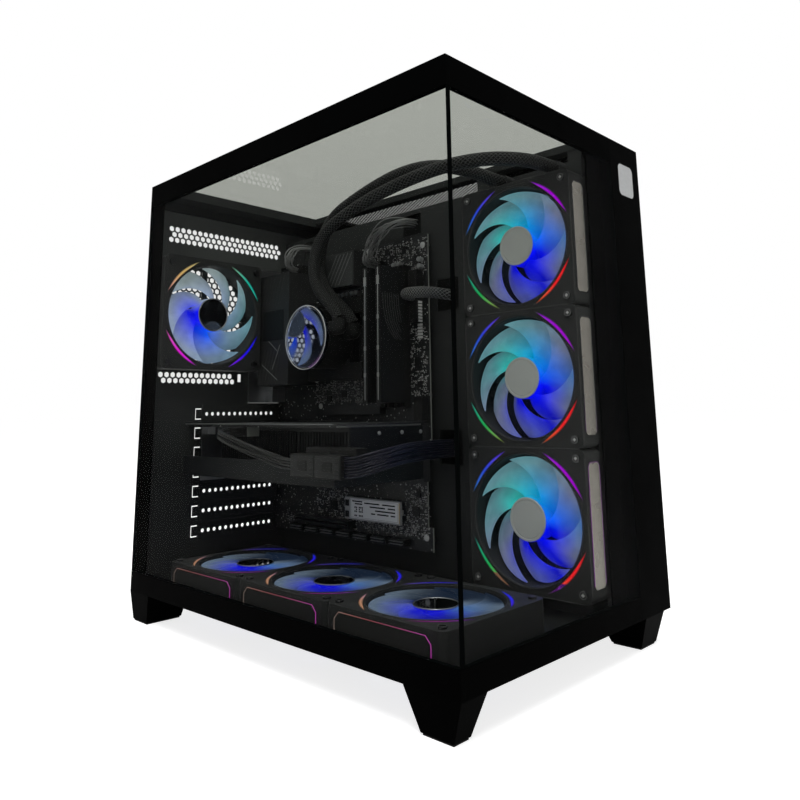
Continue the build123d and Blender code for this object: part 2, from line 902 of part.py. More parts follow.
def rear_panel():
    """Rear sheet with its vents, expansion slots and cut-outs."""
    outline = [
        (rear_left, floor_top),
        (panel_inner, floor_top),
        (panel_inner, band_bottom),
        (rear_left, band_bottom),
    ]
    rise = hex_pitch * math.sqrt(3) / 2
    holes = hex_disc(rear_plane, rear_fan_x, rear_fan_z, fan_bore)
    top_row = body_height - upper_vent_drop
    for row in range(upper_vent_rows):
        holes += hex_row(rear_plane, upper_vent_left, top_row - rise * row, upper_vent_columns, row % 2)
    low_row = rear_fan_bottom - lower_vent_gap
    for row in range(lower_vent_rows):
        holes += hex_row(rear_plane, lower_vent_left, low_row - rise * row, lower_vent_columns, row % 2)
    row_end = lower_vent_left + hex_pitch * (lower_vent_columns + 0.5)
    for u in (lower_vent_left - hex_pitch * 1.5, row_end):
        holes.append(
            rectangle_hole(rear_plane, u, u + slot_vent_width, low_row - rise, low_row + hex_flats / 2)
        )
    for u, v in screw_places():
        holes.append(round_hole(rear_plane, rear_fan_x + u, rear_fan_z + v, screw_radius + clearance))
    half = slot_window_height / 2
    for number in range(1, slot_count + 1):
        z = slot_z(number)
        holes.append(rectangle_hole(rear_plane, slot_window_left, slot_window_right, z - half, z + half))
        holes.append(hook_hole(z))
    holes.append(rectangle_hole(rear_plane, field_left, board_face, field_low, field_high))
    lip = supply_wall * 3
    holes.append(
        rectangle_hole(
            rear_plane, supply_left + lip, supply_right - lip, supply_bottom + lip, supply_top - lip
        )
    )
    for x in (left_tab_x, right_tab_x):
        for z in tab_heights:
            holes.append(round_hole(rear_plane, x, z, thumb_shank_radius + clearance))
    return perforated(rear_plane, outline, holes, panel_sheet)


def cover(number):
    """One blank of an expansion slot, with its row of round holes."""
    plane = Plane((0, rear_inner, 0), x_dir=(1, 0, 0), z_dir=(0, -1, 0))
    left, right = slot_window_left - cover_margin, slot_window_right + cover_margin
    z, half = slot_z(number), cover_height / 2
    pitch = (slot_window_right - slot_window_left) / cover_dots
    dots = [slot_window_left + pitch * (k + 0.5) for k in range(cover_dots)]
    holes = [round_hole(plane, u, z, cover_dot_radius) for u in dots]
    outline = [(left, z - half), (right, z - half), (right, z + half), (left, z + half)]
    return perforated(plane, outline, holes, panel_sheet)


blank_slots = (1, 5, 6, 7)


def slot_covers():
    return group([cover(number) for number in blank_slots])


# Middle wall, board and what stands on it
front_slot = (board_front - slot_far, board_front - slot_near)
top_slot = (board_top + slot_rise, board_top + slot_reach)
cable_slots = (
    (*front_slot, card_bottom + card_slot_low, card_bottom + card_slot_high),
    (*front_slot, board_bottom + loom_slot_low, board_bottom + loom_slot_high),
    (board_front + header_slot_near, board_front + header_slot_far, *top_slot),
    (board_rear - processor_slot_far, board_rear - processor_slot_near, *top_slot),
)


def middle_wall():
    """Tray with cable slots and standoffs, and the two strips that carry the side fans."""
    plane = Plane((main_width, 0, 0), x_dir=(0, 1, 0), z_dir=(1, 0, 0))
    front = side_fan_front + fan_size + seam
    outline = [
        (front, floor_top),
        (rear_inner, floor_top),
        (rear_inner, tray_top),
        (front, tray_top),
    ]
    holes = [rectangle_hole(plane, *edges) for edges in cable_slots]
    tray = perforated(plane, outline, holes, panel_sheet)
    back = board_face + board_thickness
    for row in standoff_rows:
        for column in standoff_columns:
            place = (back, board_front + column, board_bottom + row)
            tray += rod(place, (1, 0, 0), standoff_radius, standoff_height)
    strip_plane = Plane((strip_left, 0, 0), x_dir=(0, 1, 0), z_dir=(1, 0, 0))
    shapes = [tray]
    middle = side_fan_front + fan_half
    for side in (-1, 1):
        y = middle + side * (fan_half - screw_inset)
        outer = y - side * rail_strip / 2, y + side * rail_strip / 2
        low, high = min(outer), max(outer)
        edges = [(low, floor_top), (high, floor_top), (high, rail_bottom), (low, rail_bottom)]
        heights = [side_fan_plane(n).origin.Z + v for n in fan_numbers for u, v in screw_places()]
        holes = [round_hole(strip_plane, y, z, screw_radius + clearance) for z in sorted(set(heights))]
        shapes.append(perforated(strip_plane, edges, holes, sheet))
    return group(shapes)


def motherboard():
    """Printed board with the notch in its front edge."""
    board = slab(
        board_face, board_face + board_thickness, board_front, board_rear, board_bottom, board_top
    )
    return board - slab(
        board_face,
        board_face + board_thickness,
        board_front,
        board_front + notch_depth,
        board_bottom + notch_bottom,
        board_bottom + notch_top,
    )


def on_board(y0, y1, z0, z1, height):
    """A block that stands on the board's face, placed from its front and bottom edges."""
    return slab(
        board_face - height,
        board_face,
        board_front + y0,
        board_front + y1,
        board_bottom + z0,
        board_bottom + z1,
    )


dimm_places = [board_front + dimm_front + dimm_pitch * k for k in range(dimm_count)]
card_board_z = (card_board_top + card_board_bottom) / 2
finger_start = board_rear - finger_rear - finger_length


def grooved_slot(y0, y1, z0, z1, height, along_z, width):
    """A long socket on the board with a groove for a card edge."""
    block = slab(board_face - height, board_face, y0, y1, z0, z1)
    y, z, half = (y0 + y1) / 2, (z0 + z1) / 2, width / 2
    left = board_face - height
    end = left + slot_groove
    if along_z:
        return block - slab(left, end, y - half, y + half, z0 + half, z1 - half)
    return block - slab(left, end, y0 + half, y1 - half, z - half, z + half)


def board_connectors():
    """Memory and card sockets, the processor and the plugs along the board's edges."""
    shapes = []
    slot_low = board_bottom + dimm_bottom - (dimm_slot_length - dimm_length) / 2
    for y in dimm_places:
        half = dimm_slot_width / 2
        shapes.append(
            grooved_slot(
                y - half,
                y + half,
                slot_low,
                slot_low + dimm_slot_length,
                dimm_slot_height,
                True,
                dimm_board + clearance * 2,
            )
        )
    half = slot_block_width / 2
    start = finger_start - (slot_block_length - finger_length) / 2
    for step in card_slot_steps:
        z = card_board_z - slot_pitch * step
        shapes.append(
            grooved_slot(
                start,
                start + slot_block_length,
                z - half,
                z + half,
                slot_block_height,
                False,
                card_board + clearance * 2,
            )
        )
    half = cpu_socket / 2
    shapes.append(
        slab(
            board_face - socket_height,
            board_face,
            pump_y - half,
            pump_y + half,
            pump_z - half,
            pump_z + half,
        )
    )
    shapes += [on_board(*block) for block in (main_plug, processor_plug, header_plug, drive_plug)]
    front, rear, *rest = edge_plug
    for k in range(edge_plug_count):
        shapes.append(on_board(front + edge_plug_pitch * k, rear + edge_plug_pitch * k, *rest))
    return group(shapes)


def finned_block(y0, y1, z0, z1, height, groove, count):
    """A heat sink on the board with grooves along its height."""
    block = on_board(y0, y1, z0, z1, height)
    step = (y1 - y0) / count
    cuts = [
        slab(
            board_face - height,
            board_face - height / 2,
            board_front + y0 + step * (k + 0.5),
            board_front + y0 + step * (k + 0.5) + groove,
            board_bottom + z0,
            board_bottom + z1,
        )
        for k in range(count)
    ]
    return block - cuts


def board_heatsinks():
    """Finned coolers beside the processor, the rear cover and the flat cooling plates."""
    return group(
        [
            finned_block(*top_cooler, top_cooler_groove, top_cooler_fins),
            on_board(*rear_cover),
            on_board(*lower_plate),
            on_board(*upper_plate),
        ]
    )


memory_places = (dimm_places[0], dimm_places[2])


def memory_modules():
    """Two sticks of memory in their sockets."""
    low = board_bottom + dimm_bottom
    shapes = []
    for y in memory_places:
        body = slab(
            board_face - dimm_height,
            board_face - dimm_slot_height - seam,
            y - dimm_body / 2,
            y + dimm_body / 2,
            low,
            low + dimm_length,
        )
        tongue = slab(
            board_face - dimm_slot_height - seam,
            board_face - dimm_slot_height + slot_groove - seam,
            y - dimm_board / 2,
            y + dimm_board / 2,
            low,
            low + dimm_length,
        )
        shapes.append(body + tongue)
    return group(shapes)


def storage_drive():
    """Flat drive card on its pad low on the board."""
    y0, z0 = board_front + drive_front, board_bottom + drive_up
    left = board_face - drive_lift - drive_thickness
    card = slab(left, board_face - drive_lift, y0, y0 + drive_length, z0, z0 + drive_width)
    socket = slab(
        board_face - drive_lift,
        board_face,
        y0 + drive_length - drive_socket_length,
        y0 + drive_length,
        z0,
        z0 + drive_width,
    )
    post_y = y0 + drive_post_inset
    post_z = z0 + (drive_width - drive_post_width) / 2
    post = slab(
        board_face - drive_lift,
        board_face,
        post_y,
        post_y + drive_post_width,
        post_z,
        post_z + drive_post_width,
    )
    return card + socket + post


def socket_shell(x, z, width, height):
    """A metal socket open to the rear: width along z, height along x, from the board outwards."""
    wall = socket_wall
    outer = slab(
        x - height / 2 - wall,
        x + height / 2 + wall,
        case_depth - socket_depth,
        case_depth,
        z - width / 2 - wall,
        z + width / 2 + wall,
    )
    cavity = slab(
        x - height / 2,
        x + height / 2,
        case_depth - socket_cavity,
        case_depth,
        z - width / 2,
        z + width / 2,
    )
    return outer, cavity


usb_rows = [board_face - lift for lift in usb_lifts]
usb_columns = [field_low + height for height in usb_heights]
net_place = (board_face - net_lift, field_low + net_up)
jack_rows = [field_low + jack_up + jack_pitch * k for k in range(jack_count)]
jack_x = board_face - jack_lift
display_place = (board_face - display_lift, field_low + display_up)


def rear_sockets():
    """The board's rear sockets in their cover plate."""
    plate = slab(
        field_left + clearance,
        board_face - clearance,
        rear_inner,
        case_depth,
        field_low + clearance,
        field_high - clearance,
    )
    pairs = [socket_shell(x, z, usb_width, usb_height) for x in usb_rows for z in usb_columns]
    pairs.append(socket_shell(*net_place, net_width, net_height))
    pairs.append(socket_shell(*display_place, display_width, display_height))
    block = plate + [pair[0] for pair in pairs]
    back = case_depth - socket_depth
    for z in jack_rows:
        half = jack_pitch / 2 - clearance
        block += slab(jack_x - half, board_face - seam, back, case_depth, z - half, z + half)
    block -= [pair[1] for pair in pairs]
    for z in jack_rows:
        block -= rod((jack_x, case_depth - socket_cavity, z), (0, 1, 0), jack_radius, socket_cavity)
    return block


# Liquid cooler
tube_start_x = strip_right - fitting_length
pump_arms = {
    "front": (pump_left + front_arm[0], pump_z + front_arm[1]),
    "rear": (pump_left + rear_arm[0], pump_z + rear_arm[1]),
}


def radiator():
    """Core between two tanks, with the two barbs on the upper tank."""
    y0, y1 = side_fan_front, side_fan_front + fan_size
    low, high = side_fan_bottom, side_fan_bottom + fan_row
    core = slab(strip_right, radiator_right, y0 + tank_lip, y1 - tank_lip, low, high)
    bottom = slab(strip_right, radiator_right, y0, y1, floor_top + seam, low)
    top = slab(strip_right, radiator_right, y0, y1, high, min(high + tank_length, rail_bottom - seam))
    body = core + bottom + top
    for y in (front_port_y, rear_port_y):
        body += rod((strip_right, y, port_z), (-1, 0, 0), fitting_radius, fitting_length)
    return body


def pump_body():
    """Pump on its cold plate, with two elbows for the tubes."""
    body = rod((pump_left, pump_y, pump_z), (1, 0, 0), pump_radius, pump_length)
    half = cold_plate / 2
    plate = slab(
        cold_plate_left,
        cold_plate_left + cold_plate_thickness,
        pump_y - half,
        pump_y + half,
        pump_z - half,
        pump_z + half,
    )
    body += plate - slab(
        cold_plate_left,
        board_face,
        pump_y - half,
        pump_y - half + plate_notch,
        pump_z - plate_notch_width / 2,
        pump_z + plate_notch_width / 2,
    )
    for x, z in pump_arms.values():
        root = (x, pump_y, z)
        body += rod(root, (0, -1, 0), fitting_radius, pump_radius + pump_arm_length)
        elbow = (x, pump_y - pump_radius - pump_arm_length, z)
        body += Pos(*elbow) * Sphere(fitting_radius)
        body += rod(elbow, (0, 0, 1), fitting_radius, pump_arm_length)
    return body


def pump_cap():
    """Round mirrored cap with a raised rim."""
    cap = rod((cap_left, pump_y, pump_z), (1, 0, 0), cap_radius, cap_length)
    return cap - rod((cap_left, pump_y, pump_z), (1, 0, 0), cap_radius - hub_wall * 2, hub_wall / 2)


def corner_radii(points):
    """The largest tidy bend radius at each corner of a route."""
    radii = []
    for before, here, after in zip(points, points[1:], points[2:]):
        a, b = Vector(*here) - Vector(*before), Vector(*after) - Vector(*here)
        turn = math.radians(a.get_angle(b))
        radii.append(0.45 * min(a.length, b.length) / math.tan(turn / 2))
    return radii


def tube(name, points, diameter):
    """A round cable or hose along a route of points."""
    radii = corner_radii(points)
    path = FilletPolyline(*points, radius=radii)
    plane = Plane(origin=path @ 0, z_dir=path % 0)
    body = sweep(plane * Circle(diameter / 2), path=path)
    section = math.pi * diameter**2 / 4
    share = sum(s.volume for s in body.solids()) / (section * path.length)
    bends = [round(radius) for radius in radii]
    print(name, "length", round(path.length, 1), "radii", bends, "volume", round(share, 4))
    return body


def arm_mouth(name):
    """Where a tube leaves an elbow of the pump."""
    x, z = pump_arms[name]
    return (x, pump_y - pump_radius - pump_arm_length, z + pump_arm_length)


def near_pump(left, front, up):
    """A place measured from the board's face and the pump's middle."""
    return (board_face - left * route_step, pump_y - front * route_step, pump_z + up * route_step)


def under_glass(left, rear, drop):
    """A place measured from the board's face, the front and the top glass."""
    return (board_face - left * route_step, rear * route_step, glass_under - drop * route_step)


def over_pump(left, front, drop):
    """A place measured from the board's face, the pump's middle and the top glass."""
    return (board_face - left * route_step, pump_y - front * route_step, glass_under - drop * route_step)


front_tube_points = [
    arm_mouth("front"),
    near_pump(40, 41, 39),
    near_pump(45, 29, 61),
    near_pump(48, 18, 83),
    over_pump(48, 25, 55),
    over_pump(47, 49, 39),
    over_pump(46, 90, 29),
    under_glass(47, 162, 22.5),
    under_glass(50, 110, 21),
    under_glass(43, 70, 22),
    under_glass(21, 46, 23),
    (tube_start_x - port_lead, front_port_y, port_z),
    (tube_start_x, front_port_y, port_z),
]
rear_tube_points = [
    arm_mouth("rear"),
    near_pump(21, 41, 34),
    near_pump(27.5, 29, 54),
    near_pump(30, 12, 76),
    over_pump(31, 5, 64),
    over_pump(32, 10, 46),
    over_pump(33, 27, 32),
    over_pump(35, 56, 21),
    over_pump(37, 90, 14),
    under_glass(39, 178, 9.5),
    under_glass(36, 149, 8.5),
    under_glass(28, 125, 11.5),
    under_glass(15, 106, 18),
    (tube_start_x - port_lead, rear_port_y, port_z),
    (tube_start_x, rear_port_y, port_z),
]


# Graphics card
def card_fan_places():
    x = (card_left + card_right) / 2
    return [(x, card_front + card_fan_first + card_fan_pitch * k) for k in range(2)]


card_fan_top = card_bottom + card_wall + seam + card_fan_depth


def card_shroud():
    """Open housing round the card's fans."""
    y1 = rear_inner - panel_sheet - seam
    bottom = slab(card_left, card_right, card_front, y1, card_bottom, card_bottom + card_wall)
    for x, y in card_fan_places():
        bottom -= rod((x, y, card_bottom), (0, 0, 1), card_fan_radius + card_opening_gap, card_wall)
    wall_top = card_bottom + side_wall_height
    left = slab(card_left, card_left + card_wall, card_front, y1, card_bottom, wall_top)
    right = slab(card_right - card_wall, card_right, card_front, y1, card_bottom, wall_top)
    inner = card_front + card_wall
    front = slab(card_left, card_right, card_front, inner, card_bottom, wall_top)
    end = slab(card_left + fin_inset, card_right, card_front, inner, wall_top, card_board_bottom)
    return bottom + left + right + front + end


def comb(x0, x1, y0, y1, z0, z1):
    """Fins that hang from a plate, in rows along y."""
    count = int((y1 - y0 - fin_thickness) / fin_pitch)
    plate = slab(x0, x1, y0, y1, z1 - fin_base, z1)
    places = [y0 + fin_pitch * k for k in range(count + 1)]
    return plate + [slab(x0, x1, y, y + fin_thickness, z0, z1 - fin_base) for y in places]


def card_heatsink():
    """Two banks of fins with a seat for each fan."""
    y0 = card_front + card_wall + seam
    y2 = rear_inner - socket_depth - card_wall
    middle = y0 + fin_pitch * front_fins + fin_thickness
    low, high = card_fan_top + card_wall, card_board_bottom
    right = card_right - card_wall - seam
    body = comb(card_left + fin_inset, right, y0, middle, low, high)
    body += comb(card_left + fin_inset * 2, right, middle, y2, low, high)
    for x, y in card_fan_places():
        start = card_fan_top + seam
        body += rod((x, y, start), (0, 0, 1), card_fan_hub - hub_wall, high - start)
        body -= rod((x, y, card_fan_top), (0, 0, 1), shaft_radius + running_gap, boss_height)
    return body


def card_rotor(place):
    """One fan of the card, facing down."""
    length = card_fan_depth - hub_wall + boss_height / 2
    body = rotor(
        card_fan_hub,
        card_fan_radius,
        card_fan_blades,
        card_blade_scale,
        0,
        card_fan_depth,
        length,
        card_fan_depth / 2,
    )
    return Plane((*place, card_fan_top), x_dir=(1, 0, 0), z_dir=(0, 0, -1)) * body


def card_board_piece():
    """The card's own board with its edge contacts and power socket."""
    y1 = rear_inner - panel_sheet - seam
    board = slab(
        card_left + card_inset, card_right, card_front + card_wall, y1, card_board_bottom, card_board_top
    )
    tongue = slab(
        card_right,
        board_face - slot_block_height + finger_width,
        finger_start,
        finger_start + finger_length,
        card_board_bottom,
        card_board_top,
    )
    socket = slab(
        card_left + card_inset,
        card_left + card_inset + card_socket_width,
        card_socket_y - card_socket_length / 2,
        card_socket_y + card_socket_length / 2,
        card_board_bottom - card_socket_drop,
        card_board_bottom,
    )
    return board + tongue + socket


def card_backplate():
    """Cover on top of the card."""
    y1 = rear_inner - panel_sheet - seam
    return slab(card_left + card_wall, card_right, card_front, y1, card_board_top, card_top)


display_columns = [slot_window_left + display_first + display_pitch * k for k in range(display_count)]


def card_bracket():
    """Steel end plate with the display sockets."""
    left, right = slot_window_left - cover_margin, slot_window_right + cover_margin
    low = slot_z(4) - cover_height / 2
    high = slot_z(2) + cover_height / 2
    plate = slab(left, right, rear_inner - panel_sheet, rear_inner, low, high)
    z = card_board_bottom - seam - socket_wall - usb_height / 2
    start = rear_inner - socket_depth
    shells, cavities = [], []
    for x in display_columns:
        wide, tall = usb_width / 2, usb_height / 2
        half = wide + socket_wall
        shells.append(
            slab(x - half, x + half, start, rear_inner, z - tall - socket_wall, z + tall + socket_wall)
        )
        cavities.append(
            slab(x - wide, x + wide, rear_inner - socket_cavity, rear_inner, z - tall, z + tall)
        )
    return plate + shells - cavities


# Power supply
supply_middle = Plane(
    (supply_right, (supply_front + rear_inner) / 2, (supply_bottom + supply_top) / 2),
    x_dir=(0, 1, 0),
    z_dir=(1, 0, 0),
)
inlet_x = supply_left + inlet_from_left
inlet_z = supply_top - inlet_height
switch_x = inlet_x
switch_z = inlet_z - (inlet_height + switch_height) / 2 - switch_gap


def supply_case():
    """Closed steel box with a grille for its fan, and openings for the inlet and the switch."""
    w = supply_wall
    shell = slab(supply_left, supply_right, supply_front, rear_inner, supply_bottom, supply_top)
    shell -= slab(
        supply_left + w, supply_right - w, supply_front + w, rear_inner - w, supply_bottom + w, supply_top - w
    )
    side = Plane(supply_middle.origin - Vector(w, 0, 0), x_dir=(0, 1, 0), z_dir=(1, 0, 0))
    cuts = [
        Solid.extrude(Face(hole), Vector(w, 0, 0))
        for hole in louvre_disc(side, 0, 0, supply_fan_radius, motor_radius)
    ]
    cuts.append(
        slab(
            inlet_x - inlet_width / 2,
            inlet_x + inlet_width / 2,
            rear_inner - w,
            rear_inner,
            inlet_z - inlet_height / 2,
            inlet_z + inlet_height / 2,
        )
    )
    cuts.append(
        slab(
            switch_x - switch_width / 2,
            switch_x + switch_width / 2,
            rear_inner - w,
            rear_inner,
            switch_z - switch_height / 2,
            switch_z + switch_height / 2,
        )
    )
    vent_x = inlet_x + inlet_width / 2 + slot_vent_bar
    vent_end = supply_right - supply_vent_margin
    step = slot_vent_width + slot_vent_bar
    for row in range(int((supply_height - supply_vent_margin * 2) / step)):
        z = supply_bottom + supply_vent_margin + step * row
        cuts.append(slab(vent_x, vent_end, rear_inner - w, rear_inner, z, z + slot_vent_width))
    shell -= cuts
    depth = w + boss_height
    boss = rod(supply_middle.origin - Vector(w, 0, 0), (-1, 0, 0), boss_radius, boss_height)
    start = supply_middle.origin - Vector(depth, 0, 0)
    bore = rod(start, (1, 0, 0), shaft_radius + running_gap, boss_height - w)
    return shell + boss - bore


def supply_rotor():
    """The power supply's fan behind its grille."""
    depth = hub_end - hub_start
    length = depth - hub_wall - seam
    body = rotor(
        hub_radius, supply_fan_radius, blade_count, 1, 0, depth, length, blade_middle - hub_start
    )
    start = supply_middle.origin - Vector(supply_wall * 2 + depth + seam, 0, 0)
    turned = Plane(start + Vector(depth, 0, 0), x_dir=(0, 1, 0), z_dir=(-1, 0, 0))
    return turned * body


def power_inlet():
    """Mains inlet with its three pins, and the frame of the switch beside it."""
    w = inlet_wall
    half_w, half_h = inlet_width / 2 - clearance, inlet_height / 2 - clearance
    start = rear_inner - inlet_depth
    block = slab(inlet_x - half_w, inlet_x + half_w, start, rear_inner, inlet_z - half_h, inlet_z + half_h)
    block -= slab(
        inlet_x - half_w + w,
        inlet_x + half_w - w,
        start + inlet_floor,
        rear_inner,
        inlet_z - half_h + w,
        inlet_z + half_h - w,
    )
    root = start + inlet_floor
    wide, tall = pin_half_width, pin_half_height
    for u, v in inlet_pins:
        x, z = inlet_x + u, inlet_z + v
        block += slab(x - wide, x + wide, root, root + blade_pin_length, z - tall, z + tall)
    half_w, half_h = switch_width / 2 - clearance, switch_height / 2 - clearance
    start = rear_inner - switch_depth
    w = switch_wall
    low, high = switch_z - half_h, switch_z + half_h
    frame = slab(switch_x - half_w, switch_x + half_w, start, rear_inner, low, high)
    frame -= slab(
        switch_x - half_w + w,
        switch_x + half_w - w,
        start,
        rear_inner,
        switch_z - half_h + w,
        switch_z + half_h - w,
    )
    pivot = (switch_x - switch_width, rear_inner - switch_depth / 2, switch_z)
    frame -= rod(pivot, (1, 0, 0), rocker_pin_radius + running_gap, switch_width * 2)
    return group([block, frame])


def power_switch():
    """Rocker on its pin, tipped to one side."""
    half_w = switch_width / 2 - clearance - switch_wall - clearance
    half_h = switch_height / 2 - clearance - switch_wall - seam * 2
    pivot = Vector(switch_x, rear_inner - switch_depth / 2, switch_z)
    rocker = slab(-half_w, half_w, -switch_depth / 3, switch_depth / 3, -half_h, half_h)
    pin_half = switch_width / 2 - clearance
    rocker += rod((-pin_half, 0, 0), (1, 0, 0), rocker_pin_radius, pin_half * 2)
    return Pos(*pivot) * Rot(-rocker_tilt, 0, 0) * rocker


# Cables inside the case
plug_y = card_front - plug_lead
plug_z = card_bottom + plug_drop
card_plug_left = card_left - card_plug_reach
card_plug_z = card_board_bottom - card_socket_drop / 2


def card_plugs():
    """Two joined pairs of power plugs beside the card, and the plug in the card's socket."""
    shapes = []
    for k in range(2):
        y = plug_y + (plug_length + seam) * k
        left = card_left - seam - plug_width
        shapes.append(slab(left, card_left - seam, y, y + plug_length, plug_z, plug_z + plug_height))
        low = card_bottom + side_wall_height + seam
        shapes.append(
            slab(
                card_left + card_wall,
                card_left + card_wall + plug_width,
                y - upper_plug_shift,
                y + plug_length - upper_plug_shift - seam,
                low,
                low + upper_plug_height,
            )
        )
    half = card_plug_length / 2
    shapes.append(
        slab(
            card_plug_left,
            card_left + card_inset - clearance,
            card_socket_y - half,
            card_socket_y + half,
            card_plug_z - card_plug_height / 2,
            card_plug_z + card_plug_height / 2,
        )
    )
    return group(shapes)


plug_middle = (card_left - seam - plug_width / 2, plug_z + plug_height / 2)


def plug_face(block):
    """Middle of the outer face of a block on the board."""
    front, rear, low, high, height = block
    return (board_face - height, board_front + (front + rear) / 2, board_bottom + (low + high) / 2)


loom_start = plug_face(main_plug)
header_end = plug_face(header_plug)
processor_end = plug_face(processor_plug)


def by_board(left, front, up):
    """A place measured from the board's face and its lower front corner."""
    return (board_face - left * route_step, board_front + front * route_step, board_bottom + up * route_step)


card_lead_points = [
    (card_plug_left, card_socket_y, card_plug_z),
    (card_plug_left - 10 * route_step, card_socket_y, card_plug_z),
    by_board(146, 136, 109.5),
    by_board(145.5, 118, 104.5),
    by_board(139, 95, 96.5),
    by_board(131, 72, 89),
    (plug_middle[0], board_front + 57 * route_step, plug_middle[1]),
    (plug_middle[0], plug_y + plug_length * 2 + seam, plug_middle[1]),
]
card_cable_points = [
    (plug_middle[0], plug_y, plug_middle[1]),
    (plug_middle[0], plug_y - 11 * route_step, plug_middle[1]),
    by_board(121, -44, 89),
    by_board(104, -48, 93),
    by_board(74, -41, 95.5),
    by_board(30, -25.5, 95.5),
    by_board(-15, -17, 95),
]
board_loom_points = [
    loom_start,
    (loom_start[0] - 9 * route_step, loom_start[1], loom_start[2]),
    by_board(27, 5, 241.8),
    by_board(28, -5, 241.5),
    by_board(22, -14, 241.5),
    by_board(11, -19, 241.5),
    by_board(-12, -19.5, 241.5),
]
header_points = [
    by_board(-12, 28, 323.5),
    by_board(3, 29, 323.5),
    by_board(15, 37, 319.5),
    by_board(21, 49, 309.5),
    by_board(23, 59, 296.5),
    by_board(22, 65, 285.5),
    (header_end[0] - 10 * route_step, header_end[1], header_end[2]),
    header_end,
]
processor_points = [
    by_board(-10, 196, 322.5),
    by_board(7, 196, 322.8),
    by_board(20, 197, 317.5),
    by_board(25, 198, 308.5),
    by_board(23.5, 198.6, 300.5),
    (processor_end[0] - 7 * route_step, processor_end[1], processor_end[2]),
    processor_end,
]


def card_cables():
    return group(
        [
            tube("card lead", card_lead_points, wire_diameter),
            tube("card cable", card_cable_points, loom_diameter),
        ]
    )


def board_cables():
    return group(
        [
            tube("board loom", board_loom_points, loom_diameter),
            tube("header wires", header_points, wire_diameter),
            tube("processor wires", processor_points, wire_diameter),
        ]
    )


def build():
    """Every node of the tower, by name."""
    feet, pads = feet_and_pads()
    plated_frame, plain_frame, blades = fan_frame(True), fan_frame(False), case_fan_rotor()
    nodes = {
        "base_floor": base_floor(),
        "base_skirts": base_skirts(),
        "feet": feet,
        "foot_pads": pads,
        "top_rails": top_rails(),
        "top_deck": top_deck(),
        "top_glass": top_glass(),
        "left_glass": left_glass(),
        "left_panel_stile": left_panel_stile(),
        "front_glass": front_glass(),
        "front_column": front_column(),
        "right_panel": right_panel(),
        "rear_panel": rear_panel(),
        "middle_wall": middle_wall(),
        "slot_covers": slot_covers(),
        "screws": screws(),
        "control_module": control_module(),
        "power_button": power_button(),
        "supply_case": supply_case(),
        "supply_rotor": supply_rotor(),
        "power_inlet": power_inlet(),
        "power_switch": power_switch(),
        "rear_fan_frame": rear_fan_plane * plain_frame,
        "rear_fan_rotor": rear_fan_plane * blades,
        "fan_light_arcs": group([plane * arc for plane in fan_planes for arc in arc_solids(clearance / 2)]),
        "fan_mirror_plates": group([p * mirror_plate(clearance, plate_thickness) for p in plated_planes]),
        "radiator": radiator(),
        "pump_body": pump_body(),
        "pump_cap": pump_cap(),
        "coolant_tube_front": tube("front tube", front_tube_points, tube_diameter),
        "coolant_tube_rear": tube("rear tube", rear_tube_points, tube_diameter),
        "motherboard": motherboard(),
        "board_heatsinks": board_heatsinks(),
        "board_connectors": board_connectors(),
        "rear_sockets": rear_sockets(),
        "memory_modules": memory_modules(),
        "storage_drive": storage_drive(),
        "card_shroud": card_shroud(),
        "card_backplate": card_backplate(),
        "card_heatsink": card_heatsink(),
        "card_board": card_board_piece(),
        "card_bracket": card_bracket(),
        "card_plugs": card_plugs(),
        "card_cables": card_cables(),
        "board_cables": board_cables(),
    }
    for number in fan_numbers:
        nodes[f"side_fan_frame_{number}"] = side_fan_plane(number) * plated_frame
        nodes[f"side_fan_rotor_{number}"] = side_fan_plane(number) * blades
        nodes[f"base_fan_frame_{number}"] = base_fan_plane(number) * plated_frame
        nodes[f"base_fan_rotor_{number}"] = base_fan_plane(number) * blades
    for number, place in enumerate(card_fan_places(), 1):
        nodes[f"card_rotor_{number}"] = card_rotor(place)
    return nodes


def placed(shape):
    """A node moved to the tower's own frame, solid by solid."""
    solids = [shift * solid for solid in shape.solids()]
    return solids[0] if len(solids) == 1 else Compound(children=solids)


os.makedirs("parts", exist_ok=True)
for node, shape in build().items():
    export_step(placed(shape), f"parts/{node}.step")
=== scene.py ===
import math
import random

import bmesh
import bpy
from mathutils import Matrix, Vector


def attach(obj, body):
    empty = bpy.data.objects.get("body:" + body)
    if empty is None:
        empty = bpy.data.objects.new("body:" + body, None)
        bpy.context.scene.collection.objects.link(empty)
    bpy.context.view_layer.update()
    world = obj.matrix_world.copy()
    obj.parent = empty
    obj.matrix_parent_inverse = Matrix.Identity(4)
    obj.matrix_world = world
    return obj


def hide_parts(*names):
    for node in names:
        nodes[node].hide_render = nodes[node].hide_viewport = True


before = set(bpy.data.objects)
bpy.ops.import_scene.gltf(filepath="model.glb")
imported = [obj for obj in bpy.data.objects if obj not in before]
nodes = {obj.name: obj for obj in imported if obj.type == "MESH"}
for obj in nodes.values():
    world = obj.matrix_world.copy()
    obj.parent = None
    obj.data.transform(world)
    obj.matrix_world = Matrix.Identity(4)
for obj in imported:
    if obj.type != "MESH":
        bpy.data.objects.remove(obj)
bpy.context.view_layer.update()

# The tower's drawing is in millimetres from its left face, front face and underside
DRAWING_CORNER = Vector((-140.5, -214.325, 27.0))
MM = 0.001


def at(x, y, z):
    """A place on the drawing, in metres in the shared frame."""
    return (Vector((x, y, z)) + DRAWING_CORNER) * MM


